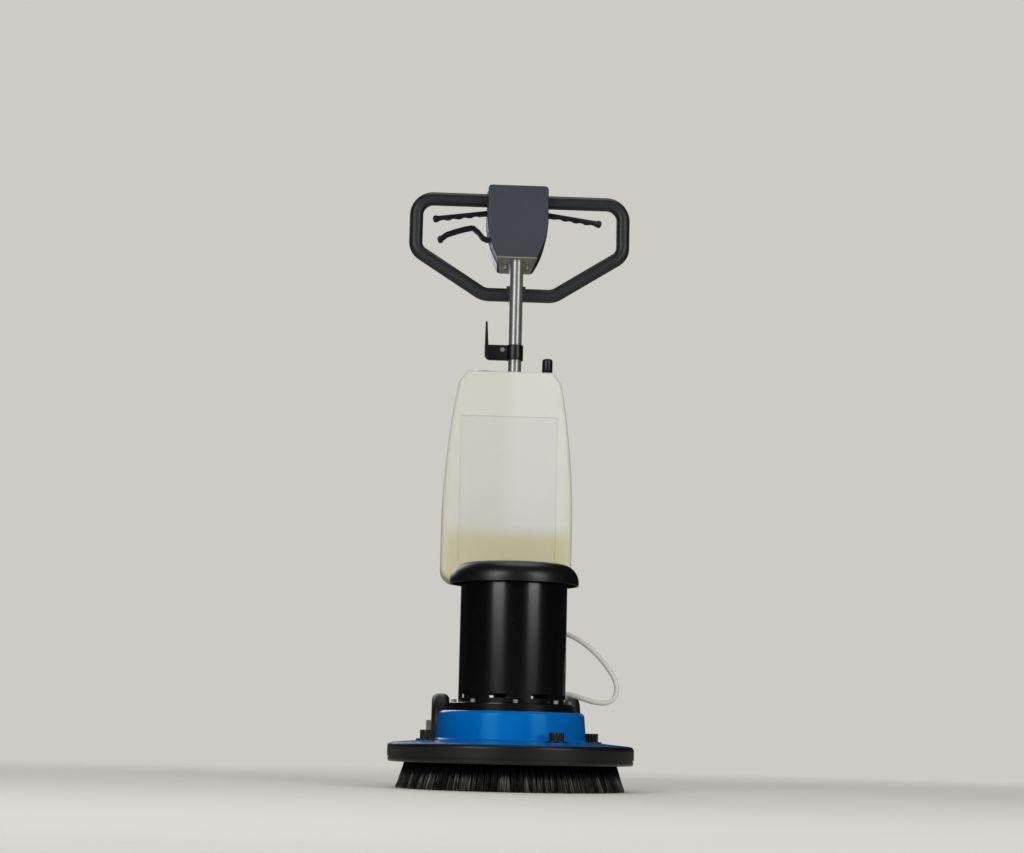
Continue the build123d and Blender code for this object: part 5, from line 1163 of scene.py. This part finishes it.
@dataclass
class Stage:
    """Plain pale floor, soft studio light and the camera."""

    floor_colour: Colour = (0.74, 0.732, 0.686)
    sky_colour: Colour = (0.604, 0.597, 0.558)
    dark_colour: Colour = (0.012, 0.012, 0.014)
    sky_light: float = 0.2
    floor_radius: float = 3.0
    floor_solid: float = 0.7
    floor_sides: int = 64
    floor_roughness: float = 0.95
    camera_place: Point = (-0.18678, -3.9606, 0.09755)
    yaw: float = 0.0442321
    pitch: float = 0.1512549
    roll: float = 0.0229643
    focal_pixels: float = 2044.08
    frame_width: float = 1024.0
    sensor: float = 36.0
    clip_end: float = 200.0
    lamps: tuple[Lamp, ...] = (
        Lamp("key_lamp", (-1.85, -2.6, 1.68), (0.0, 0.0, 0.6), 40.0, 1.5, 2.2),
        Lamp("fill_lamp", (2.2, -2.6, 1.68), (0.0, 0.0, 0.5), 36.0, 1.5, 2.2),
        Lamp("front_lamp", (-0.3, -4.4, 1.1), (0.0, 0.0, 0.6), 78.0, 2.6, 1.8, False),
        Lamp("top_lamp", (0.2, 0.6, 3.2), (0.0, 0.0, 0.3), 14.0, 1.6, 1.6),
        Lamp("back_lamp", (-0.9, 3.2, 1.9), (0.0, 0.0, 0.6), 30.0, 2.4, 1.8),
    )

    def build(self) -> None:
        """Make the floor, the world, the lamps and the camera."""
        self.floor()
        self.world()
        for lamp in self.lamps:
            self.hang(lamp)
        self.camera()

    def floor(self) -> None:
        """Make the floor disc, which fades out towards its rim."""
        clear_selection()
        bpy.ops.mesh.primitive_circle_add(
            vertices=self.floor_sides, radius=self.floor_radius, fill_type="NGON"
        )
        disc = bpy.context.object
        disc.name = "studio_floor"
        material = bpy.data.materials.new("floor_paper")
        material.use_nodes = True
        tree = material.node_tree
        shader = tree.nodes["Principled BSDF"]
        shader.inputs["Base Color"].default_value = (*self.floor_colour, 1.0)
        shader.inputs["Roughness"].default_value = self.floor_roughness
        shader.inputs["Specular IOR Level"].default_value = 0.0
        place = tree.nodes.new("ShaderNodeTexCoord")
        distance = tree.nodes.new("ShaderNodeVectorMath")
        distance.operation = "LENGTH"
        tree.links.new(place.outputs["Object"], distance.inputs[0])
        fade = add_fade(tree, distance.outputs["Value"], self.floor_radius, self.floor_solid)
        tree.links.new(fade, shader.inputs["Alpha"])
        disc.data.materials.append(material)

    def world(self) -> None:
        """Light the scene softly; reflections see it dark, the camera sees a pale backdrop."""
        world = bpy.data.worlds.new("studio")
        bpy.context.scene.world = world
        world.use_nodes = True
        world.cycles.sampling_method = "NONE"
        tree = world.node_tree
        path = tree.nodes.new("ShaderNodeLightPath")
        surface = tree.nodes["Background"]
        surface.inputs["Color"].default_value = (1.0, 1.0, 1.0, 1.0)
        surface.inputs["Strength"].default_value = self.sky_light
        for ray, colour in (
            ("Is Glossy Ray", self.dark_colour),
            ("Is Transmission Ray", self.sky_colour),
            ("Is Camera Ray", self.sky_colour),
        ):
            seen = tree.nodes.new("ShaderNodeBackground")
            seen.inputs["Color"].default_value = (*colour, 1.0)
            mix = tree.nodes.new("ShaderNodeMixShader")
            tree.links.new(path.outputs[ray], mix.inputs["Fac"])
            tree.links.new(surface.outputs[0], mix.inputs[1])
            tree.links.new(seen.outputs[0], mix.inputs[2])
            surface = mix
        tree.links.new(surface.outputs[0], tree.nodes["World Output"].inputs["Surface"])

    @staticmethod
    def hang(lamp: Lamp) -> None:
        """Add one lamp and aim it.

        Args:
            lamp: what it is and where it hangs.
        """
        data = bpy.data.lights.new(lamp.name, "AREA")
        data.energy = lamp.power
        data.shape = "RECTANGLE"
        data.size = lamp.width
        data.size_y = lamp.height
        holder = bpy.data.objects.new(lamp.name, data)
        bpy.context.scene.collection.objects.link(holder)
        holder.location = lamp.place
        aim = Vector(lamp.target) - Vector(lamp.place)
        holder.rotation_euler = aim.to_track_quat("-Z", "Y").to_euler()
        holder.visible_glossy = lamp.in_reflections

    def camera(self) -> None:
        """Place the camera by its yaw, pitch and roll."""
        data = bpy.data.cameras.new("view_camera")
        data.sensor_fit = "HORIZONTAL"
        data.sensor_width = self.sensor
        data.lens = self.focal_pixels * self.sensor / self.frame_width
        data.clip_end = self.clip_end
        camera = bpy.data.objects.new("view_camera", data)
        bpy.context.scene.collection.objects.link(camera)
        forward = Vector((
            math.sin(self.yaw) * math.cos(self.pitch),
            math.cos(self.yaw) * math.cos(self.pitch),
            math.sin(self.pitch),
        ))
        level = Vector((math.cos(self.yaw), -math.sin(self.yaw), 0.0))
        upright = level.cross(forward)
        right = level * math.cos(self.roll) + upright * math.sin(self.roll)
        up = upright * math.cos(self.roll) - level * math.sin(self.roll)
        turn = Matrix((right, up, -forward)).transposed()
        camera.matrix_world = Matrix.Translation(self.camera_place) @ turn.to_4x4()
        bpy.context.scene.camera = camera


# ---------------------------------------------------------------- the whole machine


@dataclass
class FloorMachine:
    """The dressed machine: every CAD node and every new piece."""

    frame: dict
    finishes: FinishBook = field(default_factory=FinishBook)

    def dress_nodes(self) -> None:
        """Give every CAD node the finish of its slot."""
        for entry in self.frame["record"]["subparts"]:
            self.finishes.dress(self.frame["nodes"][entry["node"]], entry["material_slot"])
        LOG.info("dressed %d nodes", len(self.frame["nodes"]))

    def build(self) -> None:
        """Dress the nodes and make the new pieces."""
        self.dress_nodes()
        kit = Kit(self.finishes)
        SolutionHose(kit).build()
        Brush(kit).build()
        Deck(kit).build()
        Motor(kit).build()
        Mouldings(kit).build()


def main() -> None:
    """Build the stage and the machine."""
    logging.basicConfig(level=logging.INFO, format="%(name)s: %(message)s")
    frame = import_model()
    bpy.context.scene.view_settings.view_transform = "Standard"
    Stage().build()
    FloorMachine(frame).build()


if __name__ == "__main__":
    main()
